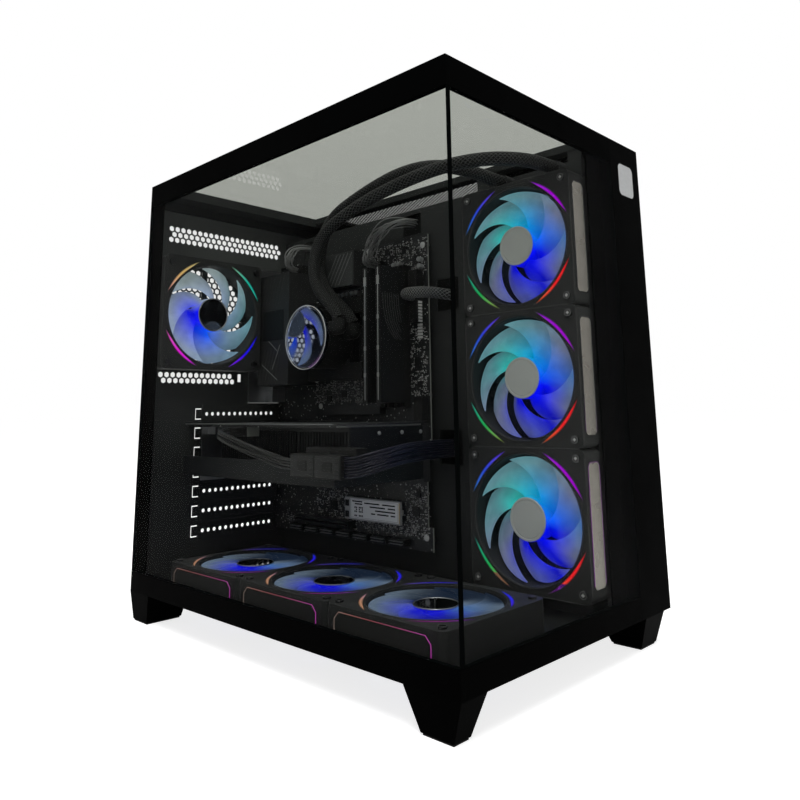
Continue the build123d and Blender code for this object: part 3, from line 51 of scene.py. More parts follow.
# Fans: middle of the front face, then its right, up and outward directions
FAN_PITCH = 120.0
SIDE_FAN_FACE, SIDE_FAN_Y = 180.15, 75.6
BASE_FAN_FACE, BASE_FAN_X = 26.2, 87.2
SIDE_FAN_HEIGHTS = [76.8 + FAN_PITCH * k for k in range(3)]
BASE_FAN_DEPTHS = [96.7 + FAN_PITCH * k for k in range(3)]
SIDE_VIEW = ((0, -1, 0), (0, 0, 1), (-1, 0, 0))
BASE_VIEW = ((-1, 0, 0), (0, -1, 0), (0, 0, 1))
REAR_VIEW = ((1, 0, 0), (0, 0, 1), (0, -1, 0))
FANS = {"rear_fan_rotor": (at(66.5, 395, 275.7), REAR_VIEW)}
for number, (height, depth) in enumerate(zip(SIDE_FAN_HEIGHTS, BASE_FAN_DEPTHS), 1):
    FANS[f"side_fan_rotor_{number}"] = (at(SIDE_FAN_FACE, SIDE_FAN_Y, height), SIDE_VIEW)
    FANS[f"base_fan_rotor_{number}"] = (at(BASE_FAN_X, depth, BASE_FAN_FACE), BASE_VIEW)
HUB_RADIUS = 0.0185
BLADE_COUNT, FIRST_BLADE = 7, 100.0
BLADE_ROOT, BLADE_TIP, BLADE_THICKNESS = 0.0176, 0.052, 0.0012
# Depth of the leading and trailing edges behind the face, and degrees added to both sides of a blade
BLADE_FORMS = {"side": (0.005, 0.019, 0.0), "base": (0.003, 0.0054, 10.0), "rear": (0.005, 0.019, -4.5)}
# Radius of the middle line of the light guides
ARC_MIDDLE = 0.0579
# Index of the black coats, which hardly mirror
COAT_INDEX = 1.035


# Finishes
def maths(kind):
    """A method that puts a Math node after its terms."""
    return lambda self, *others: self.finish.node("Math", {"operation": kind}, self, *others)


class Value:
    """A socket of a finish. Sums, products and comparisons add the nodes they need."""

    def __init__(self, finish, socket):
        self.finish, self.socket = finish, socket

    __add__, __sub__ = maths("ADD"), maths("SUBTRACT")
    __mul__, __truediv__ = maths("MULTIPLY"), maths("DIVIDE")
    __pow__, __mod__ = maths("POWER"), maths("FLOORED_MODULO")
    __gt__, __lt__ = maths("GREATER_THAN"), maths("LESS_THAN")
    __abs__, root = maths("ABSOLUTE"), maths("SQRT")
    most, angle_from = maths("MAXIMUM"), maths("ARCTAN2")


class Finish:
    """The nodes of one material, or of the world."""

    def __init__(self, name, owner=None):
        self.owner = owner or bpy.data.materials.new(name)
        self.owner.use_nodes = True
        self.tree = self.owner.node_tree
        self.tree.nodes.clear()

    def node(self, kind, settings=None, *values, out=0, at_socket=None, **sockets):
        made = self.tree.nodes.new("ShaderNode" + kind)
        for key, setting in (settings or {}).items():
            if key == "stops":
                self.set_stops(made.color_ramp, setting)
            else:
                setattr(made, key, setting)
        wanted = dict(enumerate(values)) | (at_socket or {})
        wanted |= {key.replace("_", " "): value for key, value in sockets.items()}
        for key, value in wanted.items():
            self.feed(made.inputs[key], value)
        return Value(self, made.outputs[out]) if len(made.outputs) else None

    def feed(self, socket, value):
        if isinstance(value, Value):
            self.tree.links.new(value.socket, socket)
        elif socket.type == "RGBA":
            socket.default_value = (*value, 1.0) if isinstance(value, tuple) else (value, value, value, 1.0)
        else:
            socket.default_value = value

    def set_stops(self, ramp, stops):
        ramp.elements.remove(ramp.elements[1])
        ramp.elements[0].position, ramp.elements[0].color = stops[0][0], (*stops[0][1], 1.0)
        for position, colour in stops[1:]:
            ramp.elements.new(position).color = (*colour, 1.0)

    def place(self):
        return self.node("TexCoord", out=3)

    def axes(self, vector=None):
        return [self.node("SeparateXYZ", None, vector or self.place(), out=k) for k in range(3)]

    def along(self, vector, direction):
        return self.node("VectorMath", {"operation": "DOT_PRODUCT"}, vector, direction, out=1)

    def less(self, vector, place):
        return self.node("VectorMath", {"operation": "SUBTRACT"}, vector, place)

    def scaled(self, vector, factor):
        return self.node("VectorMath", {"operation": "SCALE"}, vector, at_socket={3: factor})

    def noise(self, scale, detail=2.0, vector=None):
        return self.node("TexNoise", Vector=vector or self.place(), Scale=scale, Detail=detail)

    def remap(self, value, low, high, new_low=0.0, new_high=1.0):
        return self.node("MapRange", None, value, low, high, new_low, new_high)

    def cloud(self, scale, low, high, detail=2.0):
        """Soft changes between two values."""
        return self.remap(self.noise(scale, detail), 0.3, 0.7, low, high)

    def ramp(self, value, stops):
        return self.node("ValToRGB", {"stops": stops}, value)

    def blend(self, share, first, second):
        return self.node("Mix", {"data_type": "RGBA"}, share, out=2, at_socket={6: first, 7: second})

    def bump(self, height, depth, strength=0.4, edge=None):
        soft = {"Normal": self.node("Bevel", {"samples": 4}, Radius=edge)} if edge else {}
        return self.node("Bump", Strength=strength, Distance=depth, Height=height, **soft)

    def mottled(self, colour, lighter):
        """Slow changes between two tones."""
        return self.blend(self.cloud(11.0, 0.0, 1.0, 3.0), colour, lighter)

    def seen(self):
        """1 for rays from the camera, from a mirror or through glass, else 0."""
        straight, mirrored, through = (self.node("LightPath", out=k) for k in (0, 3, 6))
        return straight.most(mirrored).most(through)

    def principled(self, **sockets):
        return self.node("BsdfPrincipled", **sockets)

    def done(self, shader):
        self.node("OutputMaterial", Surface=shader)
        return self.owner

    def surface(self, **sockets):
        return self.done(self.principled(**sockets))

    def coat(self, tone, rough, shine, index, sway=0.05, grain=2600.0, depth=0.00012, edge=0.0005, metal=0.0):
        """Coat with a fine grain and softened edges."""
        gloss = self.cloud(45.0, rough - sway, rough + sway)
        normal = self.bump(self.noise(grain, 3.0), depth, 0.35, edge)
        weak = {"Specular_IOR_Level": shine, "IOR": index}
        return self.surface(Base_Color=tone, Roughness=gloss, Normal=normal, Metallic=metal, **weak)

    def glowing(self, colour, unlit_colour, rough, **sockets):
        glow = {"Emission_Color": colour, "Emission_Strength": 1.0}
        return self.surface(Base_Color=unlit_colour, Roughness=rough, **glow, **sockets)


def coated(name, colour, lighter, rough, grain, depth, edge=0.0005, shine=0.25, metal=0.0, index=1.3, sway=0.055):
    """Dark coat with a fine grain, slow changes of tone and softened edges."""
    f = Finish(name)
    return f.coat(f.mottled(colour, lighter), rough, shine, index, sway, grain, depth, edge, metal)


def sheet_coat_painted_top_light(name, low, high):
    """Coat of the inner sheets, satin, with painted light: a little paler toward the top, as if more light fell there.
    """
    f = Finish(name)
    _, _, z = f.axes()
    # Painted light: the tone rises toward the top, standing in for light falling from above
    rise = f.remap(z + f.noise(6.0) * 0.03, at(0, 0, 130).z, at(0, 0, 400).z)
    return f.coat(f.blend(rise, low, high), 0.5, 0.2, 1.3)


def rail_coat():
    """Black coat of the bars round the top glass, with painted light: the faces within the case are a satin grey that
    stands in for light caught from below.
    """
    f = Finish("rail_coat")
    x, y, z = f.axes()
    # Painted light: the faces within the case are paler, for light caught from below
    inner_face_painted_light = (x > at(0.4, 0, 0).x) * (y > at(0, 0.4, 0).y) * (y < at(0, 420.4, 0).y) * (z < at(0, 0, 411.6).z)
    outer = f.mottled((0.0008, 0.0009, 0.0009), (0.0013, 0.0014, 0.0014))
    return f.coat(f.blend(inner_face_painted_light, outer, (0.036, 0.038, 0.038)), 0.5, 0.3, COAT_INDEX)


def pane(name, facing, tint, shine, falloff):
    """Tinted toughened glass with dark ground edges."""
    f = Finish(name)
    flat = abs(f.along(f.node("NewGeometry", out=3), facing))
    clear = f.node("BsdfTransparent", Color=tint)
    gloss = f.principled(Base_Color=0.9, Metallic=1.0, Roughness=0.02)
    slant = f.node("LayerWeight", None, 0.5, out=1)
    sheet = f.node("MixShader", None, slant**falloff * shine + 0.0008, clear, gloss)
    ground = f.node("BsdfDiffuse", Color=(0.002, 0.0025, 0.0025))
    return f.done(f.node("MixShader", None, flat < 0.5, sheet, ground))


def polar(u, v):
    """Turn from 0 to 1 and distance from the axis."""
    return (v.angle_from(u) / math.tau) % 1.0, (u * u + v * v).root()


def lit_blades(name, fan, root_colours, tip_colours):
    """Frosted blades lit from the hub, the colour changing round the fan, with painted shade on their deeper parts."""
    f = Finish(name)
    centre, directions = FANS[fan]
    place = f.less(f.place(), centre)
    u, v, depth = (f.along(place, direction) for direction in directions)
    turn, radius = polar(u, v)
    reach = f.remap(radius, 0.023, 0.047)
    glow = f.blend(reach, f.ramp(turn, root_colours), f.ramp(turn, tip_colours))
    # Painted shade: the parts of the blades deeper behind the face are darker, for the shade between overlapping blades
    facing = f.remap(depth, -0.021, -0.006, 0.6, 1.12)
    grain = f.cloud(90.0, 0.85, 1.12)
    return f.glowing(f.scaled(glow, facing * grain), (0.006, 0.007, 0.008), 0.5, Specular_IOR_Level=0.05)


def quarter_stops(right_top, left_top, left_low, right_low):
    """Four colours, one for each corner of a fan face, in order of turn."""
    corners = (right_top, left_top, left_low, right_low)
    return [(0.125 + 0.25 * k, colour) for k, colour in enumerate(corners)]


# Colours of the light guides: side, base and rear fans
ARC_COLOURS = {
    "side_fan_rotor_1": quarter_stops((0.28, 0.0, 0.50), (0.02, 0.045, 0.48), (0.01, 0.30, 0.07), (0.62, 0.012, 0.016)),
    "base_fan_rotor_1": quarter_stops((0.14, 0.01, 0.13), (0.01, 0.01, 0.62), (0.012, 0.01, 0.45), (0.34, 0.17, 0.10)),
    "rear_fan_rotor": quarter_stops((0.01, 0.34, 0.26), (0.50, 0.32, 0.11), (0.58, 0.01, 0.52), (0.01, 0.005, 0.62)),
}


def light_arcs():
    """Light guides of all the fans, each corner in its own colour, brightest along the middle."""
    f = Finish("light_guide")
    x, y, z = f.axes()
    fan_box = Vector((FAN_PITCH, FAN_PITCH, FAN_PITCH)) * MM
    colours = []
    for fan, stops in ARC_COLOURS.items():
        centre, (right, up, _) = FANS[fan]
        start = f.less(f.place(), centre - fan_box / 2)
        local = f.less(f.node("VectorMath", {"operation": "MODULO"}, start, fan_box), fan_box / 2)
        turn, radius = polar(f.along(local, right), f.along(local, up))
        core = f.remap(abs(radius - ARC_MIDDLE), 0.0002, 0.0013, 1.5, 0.55)
        colours.append(f.scaled(f.ramp(turn, stops), core))
    side, base, rear = colours
    colour = f.blend(x > at(179, 0, 0).x, f.blend(y > at(0, 390, 0).y, base, rear), side)
    low_base = f.blend(z < at(0, 0, 30).z, colour, base)
    return f.glowing(low_base, 0.004, 0.4, Specular_IOR_Level=0.05)


# Colours of the lit blades
ultramarine = (0.0, 0.003, 1.0)
deep_blue = (0.003, 0.004, 0.58)
blue = (0.002, 0.10, 1.0)
sky = (0.002, 0.34, 0.71)
teal = (0.03, 0.44, 0.42)
dusk = (0.11, 0.14, 0.22)
frost = (0.11, 0.26, 0.30)
frost_blue = (0.06, 0.15, 0.38)
frost_violet = (0.07, 0.09, 0.44)
white_blue = (0.28, 0.35, 0.50)
pale_blue = (0.16, 0.25, 0.36)
frost_white = (0.25, 0.31, 0.32)
grey_blue = (0.15, 0.17, 0.28)
mist = (0.10, 0.14, 0.20)
haze = (0.06, 0.08, 0.105)
dim_blue = (0.005, 0.006, 0.24)
# Painted shade: the dark blade colour where the base fans' frame and hub shade the blades
painted_blade_shade = (0.006, 0.013, 0.03)
# Colours round each kind of fan, at the hub and at the tips
BLADE_COLOURS = {
    "side": (
        [
            (0.0, blue), (0.2, sky), (0.36, teal), (0.43, teal), (0.53, dusk), (0.59, dusk), (0.68, deep_blue),
            (0.85, ultramarine), (0.94, ultramarine), (1.0, blue),
        ],
        [
            (0.0, frost_blue), (0.08, grey_blue), (0.25, frost), (0.5, frost), (0.62, grey_blue),
            (0.77, frost_violet), (0.84, deep_blue), (0.9, grey_blue), (1.0, frost_blue),
        ],
    ),
    # In the base fans, the darkest stops are painted shade from the frame and hub
    "base": (
        [
            (0.0, deep_blue), (0.14, deep_blue), (0.3, frost_blue), (0.42, mist), (0.47, painted_blade_shade), (0.75, painted_blade_shade),
            (0.84, frost_violet), (1.0, deep_blue),
        ],
        [
            (0.0, haze), (0.085, dim_blue), (0.17, painted_blade_shade), (0.25, haze), (0.35, mist), (0.39, painted_blade_shade), (0.6, painted_blade_shade),
            (0.68, haze), (0.78, mist), (0.93, mist), (1.0, haze),
        ],
    ),
    "rear": (
        [
            (0.0, pale_blue), (0.25, white_blue), (0.36, white_blue), (0.48, ultramarine), (0.58, ultramarine),
            (0.72, blue), (0.88, pale_blue), (1.0, pale_blue),
        ],
        [
            (0.0, frost), (0.25, frost_white), (0.38, frost_white), (0.5, white_blue), (0.65, white_blue),
            (0.8, pale_blue), (1.0, frost),
        ],
    ),
}


def sleeve(name, colour, lighter, rows, turns):
    """Braided sleeve, the weave laid along the cord's own map."""
    f = Finish(name)
    u, v, _ = f.axes(f.node("TexCoord", out=2))
    first = abs((u * rows + v * turns) % 1.0 - 0.5)
    second = abs((u * rows - v * turns) % 1.0 - 0.5)
    strand = first.most(second) * 2.0
    tone = f.blend(f.remap(strand, 0.70, 0.98) * (f.noise(350.0) + 0.35), colour, lighter)
    return f.surface(Base_Color=tone, Roughness=0.5, Normal=f.bump(strand, 0.0009, 0.8), Specular_IOR_Level=0.12)


def mirror(name, colour, rough):
    """Polished plate with the faint haze of a moulded part."""
    f = Finish(name)
    gloss = f.remap(f.noise(60.0, 3.0), 0.35, 0.65, rough, rough + 0.05)
    normal = f.bump(f.noise(30.0), 0.0004, 0.12, 0.0004)
    return f.surface(Base_Color=colour, Metallic=1.0, Roughness=gloss, Normal=normal)


def bare_metal(name, colour, rough):
    """Plain metal with a fine brushed grain."""
    f = Finish(name)
    stretched = f.node("Mapping", None, f.place(), Scale=(1.0, 1.0, 14.0))
    lines = f.noise(420.0, 3.0, stretched)
    gloss = f.remap(lines, 0.3, 0.7, rough - 0.08, rough + 0.1)
    return f.surface(Base_Color=colour, Metallic=1.0, Roughness=gloss, Normal=f.bump(lines, 0.0001, 0.2, 0.0003))


def board_mask():
    """Black solder mask with fine tracks, pads and a pale cut edge."""
    f = Finish("board_mask")
    _, y, z = f.axes()
    bend = f.noise(26.0, 1.0) * 0.012
    track = abs(((y + z * 0.35 + bend) * 700.0) % 1.0 - 0.5)
    cell = f.node("TexVoronoi", Vector=f.place(), Scale=240.0)
    pads = (cell < 0.20) * (f.noise(90.0, 1.0) > 0.46)
    lines = (track < 0.12) * (f.noise(15.0, 1.0) > 0.5)
    tone = f.blend(lines, (0.006, 0.007, 0.008), (0.035, 0.038, 0.04))
    tone = f.blend(pads, tone, (0.40, 0.41, 0.40))
    cut_edge = abs(f.along(f.node("NewGeometry", out=3), (0.0, 1.0, 0.0))) > 0.7
    tone = f.blend(cut_edge, tone, (0.26, 0.27, 0.25))
    normal = f.bump(lines * 0.4 + pads, 0.0002, 0.5)
    return f.surface(Base_Color=tone, Roughness=0.42, Normal=normal, Specular_IOR_Level=0.3)


def plate_lines():
    """Light line round the base fans' plates, changing from the front end to the rear end."""
    f = Finish("plate_line")
    _, y, _ = f.axes()
    pitch = FAN_PITCH * MM
    run = ((y - at(0, BASE_FAN_DEPTHS[0] - FAN_PITCH / 2, 0).y) % pitch) / pitch
    stops = [
        (0.10, (0.40, 0.02, 0.34)), (0.30, (0.30, 0.02, 0.14)), (0.55, (0.25, 0.025, 0.04)),
        (0.80, (0.30, 0.10, 0.08)), (0.92, (0.28, 0.22, 0.19)),
    ]
    return f.glowing(f.ramp(run, stops), 0.04, 0.3)


def column_coat():
    """Black coat of the front column with a plain pale badge place."""
    f = Finish("column_coat")
    x, y, z = f.axes()
    middle, corner = at(255.5, 0, 377), 0.005
    aside = (abs(x - middle.x) - 0.0085).most(0.0)
    above = (abs(z - middle.z) - 0.0100).most(0.0)
    badge = ((aside * aside + above * above) < corner**2) * (y < at(0, 0.5, 0).y)
    black = f.mottled((0.001, 0.0011, 0.0011), (0.0018, 0.0019, 0.0019))
    pale = f.blend(f.noise(300.0), (0.52, 0.53, 0.53), (0.62, 0.63, 0.63))
    return f.coat(f.blend(badge, black, pale), 0.45, 0.3, COAT_INDEX)


def side_lines():
    """Faint light line round the side fans' plates, strongest on the lowest fan."""
    f = Finish("side_plate_line")
    _, _, z = f.axes()
    rise = f.remap(z, at(0, 0, 100).z, at(0, 0, 180).z)
    return f.glowing(f.blend(rise, (0.13, 0.01, 0.17), (0.012, 0.012, 0.014)), 0.02, 0.4)


def black_coat(name, dark, pale, rough, grain, depth):
    """Coat of the outer case, nearly without shine."""
    return coated(name, dark, pale, rough, grain, depth, shine=0.3, index=COAT_INDEX)


steel = black_coat("black_steel", 0.0007, 0.0012, 0.42, 2600.0, 0.00012)
plastic = black_coat("black_plastic", 0.0007, (0.0012, 0.0013, 0.0012), 0.36, 3400.0, 0.00008)
# Painted light: the inner and rear sheets are paler toward the top, and the rear panel's upper tone much paler
inner_steel = sheet_coat_painted_top_light("inner_steel", (0.014, 0.015, 0.015), (0.034, 0.036, 0.036))
rear_steel = sheet_coat_painted_top_light("rear_steel", (0.014, 0.015, 0.015), (0.11, 0.115, 0.114))
fan_plastic = coated("fan_plastic", (0.025, 0.026, 0.026), (0.032, 0.033, 0.033), 0.5, 3000.0, 0.0001, 0.0004)
card_plastic = coated("card_plastic", (0.007, 0.008, 0.009), (0.011, 0.012, 0.013), 0.45, 2800.0, 0.0001)
cooler = coated("blasted_aluminium", (0.032, 0.033, 0.034), (0.048, 0.049, 0.05), 0.45, 1800.0, 0.0001, metal=0.4)
memory_coat = coated("memory_coat", (0.009, 0.0095, 0.01), (0.013, 0.0135, 0.014), 0.45, 1800.0, 0.0001)
fin_coat = coated("fin_coat", (0.026, 0.027, 0.028), (0.042, 0.043, 0.044), 0.5, 1500.0, 0.0001)
socket_black = coated("socket_black", 0.012, 0.018, 0.35, 2400.0, 0.00006)
rubber = coated("pad_rubber", 0.012, 0.018, 0.8, 1500.0, 0.0002)
oxide = coated("black_oxide", (0.022, 0.022, 0.024), (0.05, 0.05, 0.053), 0.3, 1500.0, 0.00005, 0.0003, metal=0.8)
# Painted highlights: the wires' mottle runs up to a pale tone that stands in for glints along them
wire_coat_painted_highlights = coated("wire_coat_painted_highlights", (0.03, 0.031, 0.031), (0.26, 0.265, 0.265), 0.3, 500.0, 0.00005, None, 0.5, index=1.45)
part_brown = coated("part_brown", (0.05, 0.044, 0.038), (0.09, 0.08, 0.07), 0.5, 800.0, 0.00005, None)
tin = coated("tin", (0.20, 0.21, 0.21), (0.32, 0.33, 0.33), 0.35, 700.0, 0.00005, None, 0.5)
chip_black = coated("chip_black", (0.01, 0.01, 0.011), (0.018, 0.018, 0.019), 0.4, 2200.0, 0.00004, None)
choke_grey = coated("choke_grey", (0.035, 0.036, 0.038), (0.055, 0.056, 0.058), 0.5, 1600.0, 0.0001, None)
cooler_face = coated("cooler_face", (0.05, 0.053, 0.053), (0.065, 0.068, 0.068), 0.5, 1600.0, 0.0001, None)
plug_grey = coated("plug_grey", (0.022, 0.023, 0.023), (0.034, 0.035, 0.035), 0.4, 2200.0, 0.00006, None)
edge_grey = coated("edge_grey", (0.15, 0.155, 0.155), (0.22, 0.225, 0.225), 0.45, 1200.0, 0.00004, None)
edge_dim = coated("edge_dim", (0.045, 0.046, 0.046), (0.065, 0.066, 0.066), 0.4, 1200.0, 0.00004, None)
part_tin = coated("part_tin", (0.40, 0.405, 0.405), (0.78, 0.79, 0.79), 0.3, 700.0, 0.00003, None, 0.5)
side_plate = coated("side_plate", (0.25, 0.23, 0.21), (0.28, 0.26, 0.235), 0.24, 60.0, 0.00004, 0.0003, 0.5, 0.96)
base_plate = coated("base_plate", (0.026, 0.027, 0.026), (0.033, 0.034, 0.033), 0.42, 2600.0, 0.00005, 0.0003)
panel_coat = coated("panel_coat", (0.0084, 0.0087, 0.0087), (0.0094, 0.0097, 0.0097), 0.55, 2600.0, 0.00012, sway=0.01)
label_ink = coated("label_ink", (0.012, 0.012, 0.013), (0.02, 0.02, 0.021), 0.6, 900.0, 0.00002, None, 0.2)
edge_pale = coated("edge_pale", (0.55, 0.55, 0.54), (0.65, 0.65, 0.64), 0.55, 900.0, 0.00004, None)
brass = coated("brass", (0.55, 0.40, 0.16), (0.65, 0.48, 0.22), 0.35, 900.0, 0.00003, None, 0.5, 0.6)
mirror_dark = mirror("hub_mirror", (0.10, 0.12, 0.15), 0.03)
mirror_deep = mirror("cap_mirror", (0.33, 0.37, 0.46), 0.02)
# Painted light: the ribbon's paler tone is tinted purple for the fans' light falling on it
ribbon_coat_painted_fan_light = coated("ribbon_coat_painted_fan_light", (0.003, 0.004, 0.007), (0.013, 0.012, 0.024), 0.4, 300.0, 0.00005, None, 0.5)
lead_coat = coated("lead_coat", (0.012, 0.0125, 0.0125), (0.04, 0.041, 0.041), 0.4, 500.0, 0.00005, None, 0.5)
pump_coat = coated("pump_coat", (0.011, 0.0113, 0.0113), (0.019, 0.0193, 0.0193), 0.5, 1500.0, 0.0001, shine=0.2)
foil = coated("label_foil", (0.86, 0.88, 0.89), (0.93, 0.94, 0.95), 0.42, 700.0, 0.00003, None, 0.5, 0.15)
silver = bare_metal("plain_steel", (0.27, 0.275, 0.285), 0.36)


# Hand tools
def linked(name, data):
    """A new piece in the scene."""
    piece = bpy.data.objects.new(name, data)
    bpy.context.collection.objects.link(piece)
    return piece


def grab(name, data):
    """Makes a new piece the only active one."""
    piece = linked(name, data)
    bpy.ops.object.select_all(action="DESELECT")
    piece.select_set(True)
    bpy.context.view_layer.objects.active = piece


def settle(name, finish, body="case"):
    """Puts the active piece's place into its mesh, names it, finishes it and lets it ride."""
    piece = bpy.context.active_object
    bpy.ops.object.transform_apply(location=True, rotation=True, scale=True)
    piece.name = piece.data.name = name
    piece.data.materials.clear()
    piece.data.materials.append(finish)
    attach(piece, body)
    return piece


def soften(amount, steps=2):
    """Rounds the sharp edges of the active piece."""
    piece = bpy.context.active_object
    sharp = math.radians(30.0)
    rounding = piece.modifiers.new("edge", "BEVEL")
    rounding.width, rounding.segments = amount, steps
    rounding.limit_method, rounding.angle_limit = "ANGLE", sharp
    bpy.ops.object.modifier_apply(modifier=rounding.name)
    bpy.ops.object.shade_smooth_by_angle(angle=sharp)


def ring(name, centre, outward, radius, thickness, finish, body="case"):
    """A thin round ring on a face."""
    turn = Vector(outward).to_track_quat("Z", "Y").to_euler()
    bpy.ops.mesh.primitive_torus_add(
        location=centre,
        rotation=turn,
        major_radius=radius,
        minor_radius=thickness,
        major_segments=96,
        minor_segments=10,
    )
    bpy.ops.object.shade_smooth()
    return settle(name, finish, body)


def bars(name, kind, runs, radius=0.0, steps=2):
    """A curve along runs of places, round and closed where it has a radius."""
    curve = bpy.data.curves.new(name, "CURVE")
    curve.dimensions, curve.bevel_depth, curve.bevel_resolution = "3D", radius, steps
    curve.use_fill_caps = True
    for run in runs:
        spline = curve.splines.new(kind)
        spline.points.add(len(run) - 1)
        for point, place in zip(spline.points, run):
            point.co = (*place, 1.0)
    return curve


def thin_bars(name, runs, radius):
    """Thin round bars along runs of places, as one active mesh."""
    grab(name, bars(name, "POLY", runs, radius))
    bpy.ops.object.convert(target="MESH")


def line_work(name, runs, radius, finish):
    """Thin bars along runs of points on the drawing."""
    thin_bars(name, [[at(*point) for point in run] for run in runs], radius)
    return settle(name, finish)


def keep(bm, name, finish, body="case"):
    """Turns a mesh sketch into a finished piece."""
    mesh = bpy.data.meshes.new(name)
    bmesh.ops.recalc_face_normals(bm, faces=bm.faces)
    bm.to_mesh(mesh)
    bm.free()
    grab(name, mesh)
    bpy.ops.object.shade_smooth_by_angle(angle=math.radians(35.0))
    return settle(name, finish, body)


def turned(name, centre, outward, profile, finish, body="case", steps=72):
    """A round piece spun from its profile of radius and height."""
    bm = bmesh.new()
    lift = Vector(outward)
    reach = lift.orthogonal().normalized()
    line = [bm.verts.new(centre + reach * radius + lift * height) for radius, height in profile]
    edges = [bm.edges.new(pair) for pair in zip(line, line[1:])]
    bmesh.ops.spin(bm, geom=line + edges, cent=centre, axis=lift, angle=math.tau, steps=steps, use_merge=True)
    bmesh.ops.remove_doubles(bm, verts=bm.verts, dist=1e-6)
    return keep(bm, name, finish, body)


def blocks(name, corners, finish, edge=0.0):
    """Several blocks as one piece, each between two corners of the drawing."""
    bm = bmesh.new()
    for low, high in corners:
        (x0, y0, z0), (x1, y1, z1) = at(*low), at(*high)
        v = [bm.verts.new((x, y, z)) for x in (x0, x1) for y in (y0, y1) for z in (z0, z1)]
        for side in ((0, 1, 3, 2), (4, 6, 7, 5), (0, 4, 5, 1), (2, 3, 7, 6), (0, 2, 6, 4), (1, 5, 7, 3)):
            bm.faces.new([v[k] for k in side])
    keep(bm, name, finish)
    if edge:
        soften(edge)


# Tubes and cables
def route(name, points, radius=0.0):
    """The smooth line of a cord through the drawing's points."""
    curve = bars(name, "NURBS", [[at(*point) for point in points]], radius, 8)
    curve.resolution_u = 10
    curve.splines[0].order_u, curve.splines[0].use_endpoint_u = 3, True
    return linked(name, curve)


def hose(name, node, points, diameter, finish):
    """A round cord that follows its route."""
    piece = route(name, points, diameter / 2)
    piece.data.materials.append(finish)
    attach(piece, "case")
    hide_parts(node)


def line_of(points):
    """The places along a route's smooth line."""
    bare = route("bare_route", points)
    mesh = bpy.data.meshes.new_from_object(bare)
    places = [vertex.co.copy() for vertex in mesh.vertices]
    bpy.data.meshes.remove(mesh)
    bpy.data.objects.remove(bare)
    return places


def sections(places, across):
    """Two directions square to the line at each of its places."""
    found = []
    for k in range(len(places)):
        ahead = (places[min(k + 1, len(places) - 1)] - places[max(k - 1, 0)]).normalized()
        side = (Vector(across) - ahead * ahead.dot(Vector(across))).normalized()
        found.append((side, ahead.cross(side)))
    return found


def bundle(name, node, points, wires, wire_radius, across, wander, finish):
    """Separate wires that run together along one route."""
    places = line_of(points)
    frames = sections(places, across)
    chance = random.Random(name)
    last = len(places) - 1
    runs = []
    for a, b in wires:
        phases = [chance.uniform(0, math.tau) for _ in range(4)]
        runs.append([])
        for k, (place, (side, face)) in enumerate(zip(places, frames)):
            free = math.sin(math.pi * k / last) * wander
            u = a + free * math.sin(5.0 * k / last + phases[0]) + 0.4 * free * math.sin(13.0 * k / last + phases[1])
            v = b + free * math.sin(4.0 * k / last + phases[2]) + 0.4 * free * math.sin(11.0 * k / last + phases[3])
            runs[-1].append(place + side * u + face * v)
    thin_bars(name, runs, wire_radius)
    bpy.ops.object.shade_smooth()
    piece = settle(name, finish)
    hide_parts(node)


TUBE_DIAMETER = 0.0125
FRONT_TUBE = [
    (132, 263, 264), (131, 271, 276), (128.5, 286, 289), (127, 297, 305), (126, 299, 325), (125.5, 291, 346),
    (125.5, 270, 363), (126, 214, 379), (125, 162, 385.5), (122, 110, 387), (129, 70, 386), (151, 46, 385),
    (174, 38, 384.3), (192.35, 38, 384.3),
]
REAR_TUBE = [
    (151, 263, 260), (149.5, 270, 272), (146.5, 287, 286), (143.5, 302, 303), (142.5, 309, 326), (142, 306, 347),
    (141, 297, 365), (139, 278, 379), (137, 248, 387), (135, 214, 394), (133, 178, 398.5), (136, 149, 399.5),
    (144, 125, 396.5), (157, 106, 390), (174, 96, 384.3), (192.35, 96, 384.3),
]
CARD_LEAD = [
    (42, 320, 151.5), (32, 320, 151.5), (26, 311, 149), (26.5, 293, 144), (33, 270, 136), (41, 247, 128.5),
    (43.7, 232, 125.1), (43.7, 217.3, 125.1),
]
CARD_CABLE = [
    (43.7, 152, 125.1), (43.7, 141, 125.1), (51, 131, 128.5), (68, 127, 132.5), (98, 134, 135), (142, 149.5, 135),
    (187, 158, 134.5),
]
BOARD_LOOM = [
    (161, 186.5, 281.5), (152, 186.5, 281.5), (145, 180, 281.3), (144, 170, 281), (150, 161, 281), (161, 156, 281),
    (184, 155.5, 281),
]
HEADER_WIRES = [
    (184, 203, 363), (169, 204, 363), (157, 212, 359), (151, 224, 349), (149, 234, 336), (150, 240, 325),
    (155, 241, 320.5), (165, 241, 320.5),
]
PROCESSOR_WIRES = [
    (182, 371, 362), (165, 371, 362.3), (152, 372, 357), (147, 373, 348), (148.5, 373.6, 340), (154, 374, 334),
    (161, 374, 334),
]


def grid(columns, step, rise):
    """Places of flat wires in two rows."""
    return [(step * (k - (columns - 1) / 2), rise * row) for row in (-1, 1) for k in range(columns)]


def packed(count, pitch):
    """Places of wires that lie close round a middle one."""
    reaches = [pitch * math.sqrt(k) for k in range(count)]
    return [(reach * math.cos(2.4 * k), reach * math.sin(2.4 * k)) for k, reach in enumerate(reaches)]


